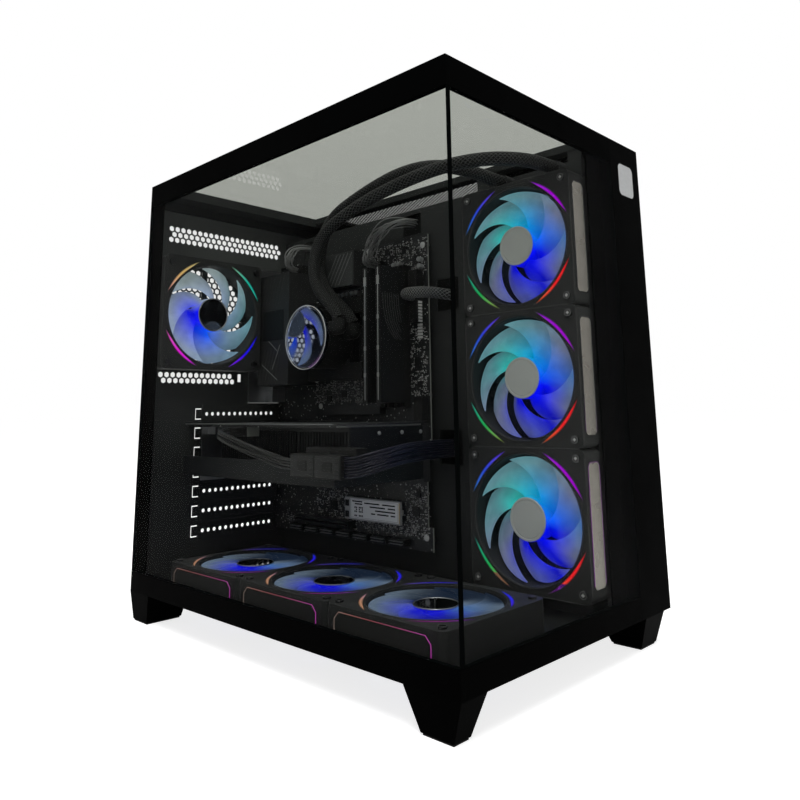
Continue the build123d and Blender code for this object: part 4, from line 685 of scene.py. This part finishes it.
def tubes_and_cables():
    tube_sleeve = sleeve("tube_sleeve", (0.0006, 0.0007, 0.0008), (0.085, 0.088, 0.088), 110.0, 11.0)
    loom_sleeve = sleeve("loom_sleeve", (0.014, 0.0145, 0.0145), (0.30, 0.305, 0.305), 26.0, 10.0)
    hose("coolant_tube_front_sleeve", "coolant_tube_front", FRONT_TUBE, TUBE_DIAMETER, tube_sleeve)
    hose("coolant_tube_rear_sleeve", "coolant_tube_rear", REAR_TUBE, TUBE_DIAMETER, tube_sleeve)
    hose("board_loom", "board_cables", BOARD_LOOM, 0.011, loom_sleeve)
    up, back = (0, 0, 1), (0, 1, 0)
    wires = grid(8, 0.0021, 0.0011)
    bundle("card_cable", "card_cables", CARD_CABLE, wires, 0.00092, up, 0.0004, ribbon_coat_painted_fan_light)
    wires = grid(4, 0.0024, 0.0012)
    bundle("card_lead", "card_cables", CARD_LEAD, wires, 0.00095, up, 0.0009, lead_coat)
    wires = packed(14, 0.00135)
    bundle("header_wires", "board_cables", HEADER_WIRES, wires, 0.0006, back, 0.0030, wire_coat_painted_highlights)
    wires = packed(10, 0.0012)
    bundle("processor_wires", "board_cables", PROCESSOR_WIRES, wires, 0.00075, back, 0.0022, wire_coat_painted_highlights)


# Fans
def blade_set(name, fan, finish, high, low, wide):
    """Seven swept blades, each a curved sheet that twists from hub to tip."""
    centre, directions = FANS[fan]
    right, up, outward = (Vector(direction) for direction in directions)
    rows, columns = 14, 12
    bm = bmesh.new()
    for blade in range(BLADE_COUNT):
        grid_of = []
        for i in range(rows + 1):
            s = i / rows
            radius = BLADE_ROOT + (BLADE_TIP - BLADE_ROOT) * s
            trail = -49.0 - wide + 47.0 * s**1.1 + 12.0 * s
            lead = wide + 50.0 * s**0.85 + 12.0 * s
            front = -high - 0.0012 + 0.0012 * s
            back = -low - 0.0015 + 0.0015 * s
            for j in range(columns + 1):
                t = j / columns
                angle = math.radians(FIRST_BLADE + blade * 360 / BLADE_COUNT + trail + (lead - trail) * t)
                depth = back + (front - back) * (t + 0.12 * math.sin(math.pi * t))
                spot = right * math.cos(angle) + up * math.sin(angle)
                grid_of.append(bm.verts.new(centre + spot * radius + outward * depth))
        for i in range(rows):
            for j in range(columns):
                k = i * (columns + 1) + j
                bm.faces.new([grid_of[n] for n in (k, k + 1, k + columns + 2, k + columns + 1)])
    piece = keep(bm, name, finish, fan)
    thick = piece.modifiers.new("thick", "SOLIDIFY")
    thick.thickness, thick.offset = BLADE_THICKNESS, 0.0
    bpy.ops.object.modifier_apply(modifier=thick.name)
    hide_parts(fan)


def rotors():
    """Blades, hub and cap of each fan, and a grey ring round its face as a painted highlight on the rim of its opening.
    """
    pale = coated("pale_cap", (0.46, 0.48, 0.465), (0.52, 0.54, 0.525), 0.5, 900.0, 0.00005, 0.0003, 0.3)
    side_cap = [(0, 0.0008), (0.0152, 0.0008), (0.0155, 0.0005), (0.0160, 0.0005)]
    side_cap += [(0.0163, 0.0009), (0.0178, 0.0009), (0.0182, 0.0)]
    plain_cap = [(0, 0.0006), (0.0168, 0.0006), (0.0172, 0.0)]
    barrel = [(0, 0.0), (0.0180, 0.0), (HUB_RADIUS, -0.0006), (HUB_RADIUS, -0.0175), (0, -0.0175)]
    for fan, (centre, (_, _, outward)) in FANS.items():
        kind = fan.split("_")[0]
        side = kind == "side"
        seat = centre - Vector(outward) * 0.003
        finish = lit_blades(fan + "_glow", fan, *BLADE_COLOURS[kind])
        blade_set(fan + "_blades", fan, finish, *BLADE_FORMS[kind])
        hub = turned(fan + "_hub", seat, outward, barrel, finish, fan)
        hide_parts(fan)
        turned(fan + "_cap", seat, outward, side_cap if side else plain_cap, pale if side else mirror_dark, fan)
        # Painted highlight: a grey ring on the rim of the fan's opening
        ring(fan + "_face_rim_highlight", centre, outward, 0.0546, 0.00032, edge_dim)
        if not side:
            ring(fan + "_rim", seat + Vector(outward) * 0.0004, outward, 0.0176, 0.0006, silver, fan)


PLATE_HALF_WIDTH, PLATE_HALF_LENGTH, PLATE_THICKNESS = 0.0085, 0.049, 0.0007


def cut_plate(name, centre, across, along, outward, cut, finish):
    """A thin plate with its four corners cut off."""
    across, along, outward = Vector(across), Vector(along), Vector(outward)
    w, h = PLATE_HALF_WIDTH, PLATE_HALF_LENGTH
    right = [(w, cut - h), (w, h - cut), (w - cut, h)]
    left = [(cut - w, h), (-w, h - cut), (-w, cut - h), (cut - w, -h), (w - cut, -h)]
    bm = bmesh.new()
    face = bm.faces.new([bm.verts.new(centre + across * u + along * v) for u, v in right + left])
    grown = bmesh.ops.extrude_face_region(bm, geom=[face])["geom"]
    raised = [part for part in grown if isinstance(part, bmesh.types.BMVert)]
    bmesh.ops.translate(bm, vec=outward * PLATE_THICKNESS, verts=raised)
    piece = keep(bm, name, finish)
    soften(0.0002, 1)
    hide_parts("fan_mirror_plates")


def open_frame(start, end, low, high, cut, drop):
    """Three sides of a frame with its upper corners cut off."""
    return [(start, low), (start, high - drop), (start + cut, high), (end - cut, high), (end, high - drop), (end, low)]


def fan_plates():
    """Plates in the fans' outer sides, and the light line round each."""
    base_line, side_line = plate_lines(), side_lines()
    x, low, high = 26.7, 4.8, 21.8
    y, left, right = 15.1, 184.3, 201.8
    for number, (depth, z) in enumerate(zip(BASE_FAN_DEPTHS, SIDE_FAN_HEIGHTS), 1):
        middle = at(27.3, depth, (low + high) / 2)
        cut_plate(f"base_plate_{number}", middle, (0, 0, 1), (0, 1, 0), (-1, 0, 0), 0.005, base_plate)
        run = [(x, a, b) for a, b in open_frame(depth - 49, depth + 49, low, high, 5, 5)]
        line_work(f"base_plate_line_{number}", [run], 0.00028, base_line)
        cut_plate(f"side_plate_{number}", at(193.05, 15.7, z), (1, 0, 0), (0, 0, 1), (0, -1, 0), 0.0028, side_plate)
        run = [(a, y, b) for a, b in open_frame(left, right, z - 46, z + 49.3, 3, 3.3)]
        line_work(f"side_plate_line_{number}", [run], 0.0003, side_line)


def fan_screw_highlights():
    """Pale rims on the screws in the faces of the side and base fans, and pale crosses on the side fans' screws: the
    screws' own rims and cross slots, painted pale as highlights on the dark heads.
    """
    reach, rim, bar, slot = 52.5, 2.9, 1.5, 0.42
    turns = [k * math.tau / 20 for k in range(21)]
    circle = [(rim * math.cos(turn), rim * math.sin(turn)) for turn in turns]
    rims, dim_rim_highlights, cross_highlights = [], [], []
    for height, depth in zip(SIDE_FAN_HEIGHTS, BASE_FAN_DEPTHS):
        for u, v in ((-reach, -reach), (-reach, reach), (reach, -reach), (reach, reach)):
            x, y, z = 178.5, SIDE_FAN_Y + u, height + v
            cross_highlights += [((x - 0.1, y - a, z - b), (x + 0.15, y + a, z + b)) for a, b in ((bar, slot), (slot, bar))]
            rims.append([(x, y + a, z + b) for a, b in circle])
            dim_rim_highlights.append([(BASE_FAN_X + u + a, depth + v + b, 27.85) for a, b in circle])
    # Painted highlights on the dark screw heads
    line_work("side_screw_rim_highlights", rims, 0.00026, edge_grey)
    line_work("base_screw_rim_highlights", dim_rim_highlights, 0.00026, edge_dim)
    blocks("side_screw_cross_highlights", cross_highlights, edge_pale)


def fan_edge_highlights():
    """Painted highlights: light lines along the edges of the side fans' faces."""
    x, y, half, run = 180.1, SIDE_FAN_Y, 59.8, 53.0
    edges = []
    for z in SIDE_FAN_HEIGHTS:
        for side in (-half, half):
            edges.append([(x, y + side, z - run), (x, y + side, z + run)])
            edges.append([(x, y - run, z + side), (x, y + run, z + side)])
    line_work("side_fan_edge_highlights", edges, 0.0003, edge_dim)


# Board
BOARD_FACE, DRIVE_FACE = 172.0, 165.8
TO_LEFT = (-1, 0, 0)


def on_board(y, z, width, height, rise, face=BOARD_FACE):
    """Corners of a block that stands on the board or on another face before it."""
    half_y, half_z = width / 2, height / 2
    return (face - rise, y - half_y, z - half_z), (face, y + half_y, z + half_z)


# Free parts of the board: y range, z range and count of small parts
SMALL_PART_FIELDS = [
    (178, 200, 184, 250, 190), (178, 262, 300, 341, 360), (244, 350, 178, 202, 360), (318, 346, 294, 340, 120),
    (180, 400, 50, 60, 330), (293, 345, 60, 104, 190), (178, 211, 54, 100, 190), (236, 260, 204, 300, 240),
    (262, 300, 284, 300, 60),
]


def small_parts():
    """Tiny resistors and capacitors with tinned ends, scattered over the free parts of the board."""
    chance = random.Random(7)
    bodies, ends = [], []
    for y0, y1, z0, z1, count in SMALL_PART_FIELDS:
        for _ in range(count):
            y, z = chance.uniform(y0, y1), chance.uniform(z0, z1)
            length, width, rise = chance.uniform(0.9, 2.3), chance.uniform(0.45, 0.95), chance.uniform(0.4, 0.8)
            way = -1 if chance.random() < 0.5 else 1
            bodies.append(on_board(y, z, *(length, width)[::way], rise))
            for shift in (-0.42 * length, 0.42 * length):
                aside, above = (shift, 0.0)[::way]
                ends.append(on_board(y + aside, z + above, *(length * 0.2, width * 1.1)[::way], rise * 1.1))
    blocks("small_part_bodies", bodies, part_brown)
    blocks("small_part_ends", ends, part_tin)


def chips_and_coils():
    """Flat chips, choke blocks and round capacitors of the board."""
    chips = [(190, 320, 9, 9), (207, 332, 6, 8), (232, 334, 7, 7), (250, 190, 9, 9), (300, 188, 7, 7), (325, 184, 8, 6)]
    chips += [(190, 215, 8, 14), (187, 195, 6, 6), (316, 72, 10, 10), (332, 92, 7, 7), (195, 75, 9, 9), (192, 92, 5, 8)]
    blocks("board_chips", [on_board(*chip, 1.4) for chip in chips], chip_black, 0.0002)
    chokes = [(333, 215 + 11 * k, 9.0, 9.5) for k in range(7)] + [(254, 300 + 11 * k, 8, 8) for k in range(3)]
    blocks("board_chokes", [on_board(*choke, 7.0) for choke in chokes], choke_grey, 0.0012)
    rim = [(0, 0.0062), (0.0014, 0.0062), (0.0016, 0.0058), (0.0021, 0.0060), (0.0025, 0.0055), (0.0025, 0.0)]
    spots = [(276 + 7.4 * k, 296.3) for k in range(6)] + [(183, 312), (183, 319), (212, 318), (219, 318)]
    spots += [(300 + 9 * k, 96) for k in range(5)]
    for k, (y, z) in enumerate(spots):
        turned(f"board_capacitor_{k + 1}", at(BOARD_FACE, y, z), TO_LEFT, rim, tin, steps=20)


def screw_heads():
    """Round screw heads with a shallow dip in the middle, on the board and the plates before it."""
    dome = [(0, 0.0009), (0.0006, 0.0009), (0.0008, 0.0014), (0.0020, 0.0013), (0.0029, 0.0008), (0.0031, 0.0)]
    spots = [(172, 181.5, 334), (172, 183, 176), (172, 183, 52), (172, 300, 52), (172, 262, 340), (172, 340, 176)]
    spots += [(152, 393, 318.5), (171, 346, 291), (171, 258, 291), (171, 346, 205), (171, 258, 205)]
    for k, spot in enumerate(spots):
        turned(f"board_screw_{k + 1}", at(*spot), TO_LEFT, dome, part_tin, steps=24)


def cooler_faces():
    """Ribbed face of the upper cooler and the lined rear cover."""
    blocks("cooler_face", [((150.8, 263.5, 302), (152.2, 314.5, 339))], cooler_face, 0.0006)
    slants = [[(150.7, y, 304), (150.7, y - 21.0, 337)] for y in (286, 292, 298, 304, 310)]
    line_work("cooler_face_ribs", slants, 0.0005, edge_grey)
    cover = [[(131.9, 404 - 6 * k, 203), (131.9, 392 - 6 * k, 240)] for k in range(6)]
    cover += [[(131.9, 404 - 6 * k, 292), (131.9, 394 - 6 * k, 322)] for k in range(7)]
    line_work("rear_cover_lines", cover, 0.00035, edge_dim)
    strokes = [((393, 255), (369, 237.6)), ((397.5, 223.5), (368, 205.3)), ((378, 217), (364, 244))]
    line_work("rear_cover_strokes", [[(131.8, *end) for end in stroke] for stroke in strokes], 0.0004, edge_grey)
    blocks("rear_cover_plate", [((131.2, 358, 250), (132.2, 396, 284))], card_plastic, 0.0004)


def memory_trim():
    """Pale edges, top blocks, shallow ribs and curved lines of the two memory modules."""
    edges, tops = [], []
    for y in (203.8, 222.2):
        edges.append(((129.6, y - 0.5, 180), (130.2, y + 0.5, 309)))
        tops.append(((129.3, y - 1.6, 292), (131.0, y + 1.6, 301)))
        tops += [((129.3, y - 1.2, z), (130.6, y + 1.2, z + 4)) for z in (258, 228, 202)]
    heights = [186 + 13.4 * k for k in range(9)]
    ribs = [((134, y - 0.25, z), (158, y + 0.25, z + 8)) for y in (206.9, 219.1, 225.3) for z in heights]
    curves = []
    for x in (133.5 + 3.1 * k for k in range(8)):
        bend = [(x, 284), (x + 0.8, 270), (x + 4, 256), (x + 10, 246), (x + 17, 239)]
        curves.append([(u, 200.6, z) for u, z in bend if u < 161.5])
    line_work("memory_lines", curves, 0.0003, edge_dim)
    blocks("memory_edges", edges, tin, 0.0002)
    blocks("memory_blocks", tops, tin, 0.0003)
    blocks("memory_ribs", ribs, memory_coat, 0.0002)


def pump_rim():
    """Bright rim round the pump's mirrored cap."""
    middle = at(120.0, 304, 247)
    ring("pump_cap_rim", middle, TO_LEFT, 0.0335, 0.0005, edge_pale)
    ring("pump_cap_line", middle, TO_LEFT, 0.0318, 0.0002, edge_grey)


def drive_label():
    """Plain pale label on the flat drive, its end contacts and its small chips."""
    blocks("drive_label_sheet", [((165.2, 213.5, 62.5), (165.7, 283, 81.8))], foil, 0.0002)
    print_rows = [(218, 236, 77.6), (240, 262, 77.6), (218, 228, 74.4), (232, 254, 74.4), (218, 246, 71.2)]
    print_rows += [(218, 224, 68.0), (227, 243, 68.0), (246, 252, 68.0), (265, 280, 78.6), (265, 276, 76.2)]
    ink = [((165.05, y0, z), (165.25, y1, z + 1.3)) for y0, y1, z in print_rows]
    cells = [(j, k) for j in range(6) for k in range(5) if (3 * j + 5 * k + j * k) % 4 != 1]
    ink += [((165.05, 264 + 2.2 * j, 64.6 + 2.0 * k), (165.25, 265.6 + 2.2 * j, 66.1 + 2.0 * k)) for j, k in cells]
    blocks("drive_label_print", ink, label_ink)
    border = [(165.2, y, z) for y, z in ((214.5, 63.5), (282, 63.5), (282, 80.8), (214.5, 80.8), (214.5, 63.5))]
    line_work("drive_label_border", [border], 0.00012, edge_grey)
    blocks("drive_contacts", [on_board(212.6, 63.5 + 1.9 * k, 1.2, 1.1, 0.4, DRIVE_FACE) for k in range(10)], brass)
    blocks("drive_chips", [on_board(288, z, 5, 6, 1.2, DRIVE_FACE) for z in (66, 77)], chip_black, 0.0002)


def board_marks():
    """Pale strip near the front edge, and pins of the edge plugs."""
    heights = [239.8 + 3.1 * k for k in range(12)]
    strip = [((170.0, 183.2, z), (172.0, 188.6, z + 2.3)) for z in heights[:5]]
    strip += [((163.2, 180.7, z), (168.9, 181.4, z + 2.3)) for z in heights[5:]]
    blocks("board_strip", strip, edge_pale, 0.0003)
    spots = [(207 + 2.0 * j + 26 * k, 44.2 + 2.6 * row) for k in range(7) for j in range(9) for row in (0, 1)]
    blocks("edge_plug_pins", [on_board(y, z, 0.7, 0.7, 3.0, 164.2) for y, z in spots], tin)


# Case and card trim
def hex_mesh(name, low, high, pitch, hole, finish):
    """A thin sheet with rows of six-sided holes, between two corners."""
    bm = bmesh.new()
    (x0, y0, z0), (x1, y1, z1) = low, high
    step = pitch * math.sqrt(0.75)
    corners = [(math.cos(a), math.sin(a)) for a in (math.radians(60 * k + 30) for k in range(6))]
    for row in range(int((y1 - y0) / step) + 1):
        for column in range(int((x1 - x0) / pitch) + 1):
            x, y = x0 + pitch * (column + 0.5 * (row % 2)), y0 + step * row
            rims = []
            for r in (pitch / math.sqrt(3), hole / math.sqrt(3)):
                rims.append([[bm.verts.new(at(x + r * c, y + r * s, z)) for c, s in corners] for z in (z0, z1)])
            (outer_low, outer_high), (inner_low, inner_high) = rims
            for k in range(6):
                n = (k + 1) % 6
                bm.faces.new((outer_high[k], outer_high[n], inner_high[n], inner_high[k]))
                bm.faces.new((outer_low[n], outer_low[k], inner_low[k], inner_low[n]))
                bm.faces.new((inner_high[k], inner_high[n], inner_low[n], inner_low[k]))
    bmesh.ops.remove_doubles(bm, verts=bm.verts, dist=1e-6)
    return keep(bm, name, finish)


def lid():
    """Lid of the narrow chamber with a long mesh vent behind the control panel."""
    node = nodes["top_deck"]
    bm = bmesh.new()
    bm.from_mesh(node.data)
    bm.transform(node.matrix_world)
    sheet = keep(bm, "lid_sheet", panel_coat)
    bpy.ops.mesh.primitive_cube_add(size=1.0, location=at(248.4, 258, 410))
    cutter = bpy.context.active_object
    cutter.scale = (0.0532, 0.254, 0.02)
    bpy.context.view_layer.update()
    bpy.context.view_layer.objects.active = sheet
    opening = sheet.modifiers.new("opening", "BOOLEAN")
    opening.operation, opening.solver, opening.object = "DIFFERENCE", "EXACT", cutter
    bpy.ops.object.modifier_apply(modifier=opening.name)
    bpy.data.objects.remove(cutter)
    mesh = hex_mesh("lid_mesh", (221.0, 130.5, 410.2), (275, 386, 410.75), 4.0, 2.9, panel_coat)
    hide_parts("top_deck")
    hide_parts("top_deck")


def rear_socket_trim():
    """Tongues, contacts and rings of the sockets at the rear."""
    pairs = [(x, z) for x in (163, 152) for z in (267, 245)]
    tongues = [((x - 0.2, 411.5, z - 5.6), (x + 1.7, 420.0, z + 5.6)) for x, z in pairs]
    tongues.append(((161.3, 411.5, 292.9), (162.8, 420.0, 305.1)))
    blocks("rear_tongues", tongues, socket_black, 0.0003)
    contacts = [((144.4, 412, 212.6 + 1.15 * k), (145.0, 419.5, 213.2 + 1.15 * k)) for k in range(8)]
    for x, z in pairs:
        contacts += [((x - 0.4, 412, z - 4.6 + 2.3 * k), (x - 0.1, 419, z - 3.6 + 2.3 * k)) for k in range(5)]
    blocks("rear_contacts", contacts, brass)
    jack_green = coated("jack_green", (0.03, 0.22, 0.06), (0.05, 0.28, 0.08), 0.4, 900.0, 0.00004, None)
    jack_pink = coated("jack_pink", (0.42, 0.10, 0.16), (0.48, 0.13, 0.19), 0.4, 900.0, 0.00004, None)
    collar = [(0.0031, 0.0), (0.0031, -0.0002), (0.0046, -0.0002), (0.0048, -0.0006), (0.0048, -0.0012)]
    for name, z, finish in (("upper", 203, jack_green), ("lower", 189, jack_pink)):
        turned(f"rear_jack_{name}", at(160, 421.4, z), (0, 1, 0), collar, finish, steps=40)
    ribs = [[(129.8, 421.05, z), (171.2, 421.05, z)] for z in (183.2, 210, 229, 256, 279, 312, 337.8)]
    line_work("rear_plate_lines", ribs, 0.00025, edge_dim)


def control_trim():
    """Tongues, contacts and rings of the sockets in the lid, and the ring of the power button."""
    tongues = [((247.5, y - 5.6, 403), (249.3, y + 5.6, 410.8)) for y in (110, 89)]
    tongues.append(((248.1, 64.6, 403), (248.9, 71.4, 410.8)))
    blocks("control_tongues", tongues, socket_black, 0.0003)
    contacts = [((247.2, y - 4.6 + 2.3 * k, 404), (247.5, y - 3.6 + 2.3 * k, 410)) for y in (110, 89) for k in range(5)]
    blocks("control_contacts", contacts, brass)
    collar = [(0.0019, 0.0), (0.0019, 0.0002), (0.0029, 0.0002), (0.0031, 0.0)]
    turned("control_jack", at(248.5, 55, 411.7), (0, 0, 1), collar, silver, steps=40)
    collar = [(0.0071, 0.0), (0.0071, 0.0002), (0.0082, 0.0002), (0.0085, 0.0)]
    turned("button_ring", at(248.5, 44, 411.7), (0, 0, 1), collar, silver, steps=64)


def card_trim():
    """Shells and latches of the card's plugs, and lines of the shroud."""
    shells, latches = [], []
    for y0, y1 in ((153, 183.8), (185.6, 216.4)):
        shells.append(((37.2, y0, 116.6), (38.2, y1, 133.6)))
        latches.append(((36.7, y0 + 9, 121.0), (37.5, y1 - 9, 129.4)))
        latches += [((37.0, y0 + 1.2, z), (37.6, y0 + 6.5, z + 1.4)) for z in (118.2, 121.4, 127.6, 130.8)]
    blocks("plug_shells", shells, plug_grey, 0.0005)
    blocks("plug_latches", latches, socket_black, 0.0003)
    line_work("card_top_edge", [[(49.6, 176, 159.0), (49.6, 417, 159.0)]], 0.0004, edge_grey)
    dome = [(0, 0.0008), (0.0005, 0.0008), (0.0007, 0.0011), (0.0013, 0.0010), (0.0018, 0.0006), (0.0019, 0.0)]
    for k, x in enumerate((102, 131, 156)):
        turned(f"card_end_screw_{k + 1}", at(x, 174, 150.3), (0, -1, 0), dome, tin, steps=24)


# Finishes of the modelled parts
def wear(name, finish):
    nodes[name].data.materials.clear()
    nodes[name].data.materials.append(finish)


def paint():
    plain = {
        steel: "base_skirts left_panel_stile",
        rail_coat(): "top_rails",
        panel_coat: "right_panel top_deck",
        inner_steel: "base_floor middle_wall supply_case",
        rear_steel: "rear_panel slot_covers",
        column_coat(): "front_column",
        plastic: "feet control_module power_button",
        rubber: "foot_pads",
        oxide: "screws",
        fan_plastic: "supply_rotor rear_fan_frame card_rotor_1 card_rotor_2",
        fin_coat: "radiator card_heatsink",
        pump_coat: "pump_body",
        mirror_deep: "pump_cap",
        board_mask(): "motherboard card_board",
        memory_coat: "memory_modules",
        cooler: "board_heatsinks card_backplate",
        socket_black: "fan_mirror_plates board_connectors card_plugs power_inlet power_switch",
        silver: "rear_sockets card_bracket",
        card_plastic: "card_shroud",
        light_arcs(): "fan_light_arcs",
        pane("left_pane", (1, 0, 0), (0.885, 0.89, 0.88), 0.15, 7.0): "left_glass",
        pane("front_pane", (0, 1, 0), (0.885, 0.89, 0.88), 0.15, 7.0): "front_glass",
        pane("top_pane", (0, 0, 1), (0.70, 0.71, 0.685), 0.35, 4.0): "top_glass",
        coated("drive_label", (0.42, 0.43, 0.43), 0.5, 0.5, 600.0, 0.00005): "storage_drive",
        coated("tube_black", 0.012, 0.02, 0.5, 900.0, 0.00005): (
            "coolant_tube_front coolant_tube_rear card_cables board_cables"
        ),
    }
    for finish, names in plain.items():
        for name in names.split():
            wear(name, finish)
    for kind in ("side", "base"):
        for turn in (1, 2, 3):
            wear(f"{kind}_fan_frame_{turn}", fan_plastic)
    for fan in FANS:
        wear(fan, fan_plastic)


# Floor, light and camera
FLOOR_SIZE, FLOOR_LIFT = 60.0, 0.785
AMBIENT = 0.36
LIGHT_AIM = Vector((0, 0, 0.2))


def stage():
    """Pale floor that meets the white backdrop and keeps the shadow."""
    bpy.ops.mesh.primitive_plane_add(size=FLOOR_SIZE, location=(0, 0, 0))
    floor = bpy.context.active_object
    floor.name = "floor"
    f = Finish("floor")
    pale = f.node("BsdfDiffuse", Color=0.6)
    lift = f.node("Emission", Color=1.0, Strength=f.seen() * FLOOR_LIFT)
    floor.data.materials.append(f.done(f.node("AddShader", None, pale, lift)))


def lamp(name, place, size, power):
    light = bpy.data.lights.new(name, "AREA")
    light.shape, light.size, light.energy = "DISK", size, power
    piece = linked(name, light)
    piece.location, piece.rotation_mode = place, "QUATERNION"
    piece.rotation_quaternion = (LIGHT_AIM - Vector(place)).to_track_quat("-Z", "Y")


def studio_light():
    """White backdrop that lights the tower only weakly, and two round lamps above."""
    f = Finish("studio", bpy.data.worlds.new("studio"))
    bpy.context.scene.world = f.owner
    strength = f.remap(f.seen(), 0.0, 1.0, AMBIENT)
    backdrop = f.node("Background", Color=1.0, Strength=strength)
    f.node("OutputWorld", Surface=backdrop)
    lamp("overhead", (-0.15, -0.1, 2.0), 1.5, 26.0)
    lamp("key", (-0.65, -0.6, 1.4), 0.6, 11.0)


def photo_camera():
    """The camera low in front of the left corner, looking up."""
    azimuth, elevation, roll = (math.radians(a) for a in (-46.11, -10.76, -0.77))
    level = math.cos(elevation)
    back = Vector((math.sin(azimuth) * level, -math.cos(azimuth) * level, math.sin(elevation)))
    right = Vector((0, 0, 1)).cross(back).normalized()
    up = back.cross(right)
    data = bpy.data.cameras.new("photo_camera")
    data.sensor_width, data.lens = 36.0, 32.633
    data.shift_x, data.shift_y = -0.00698, -0.15738
    data.clip_start, data.clip_end = 0.01, 100.0
    camera = linked("photo_camera", data)
    turn = Matrix((right, up, back)).transposed() @ Matrix.Rotation(roll, 3, "Z")
    camera.matrix_world = Matrix.Translation(at(-354.95, -300.85, 168.49)) @ turn.to_4x4()
    bpy.context.scene.camera = camera


paint()
tubes_and_cables()
rotors()
fan_plates()
fan_screw_highlights()
fan_edge_highlights()
small_parts()
chips_and_coils()
screw_heads()
cooler_faces()
memory_trim()
pump_rim()
drive_label()
board_marks()
lid()
rear_socket_trim()
control_trim()
card_trim()
stage()
studio_light()
photo_camera()
bpy.context.scene.view_settings.view_transform = "Standard"
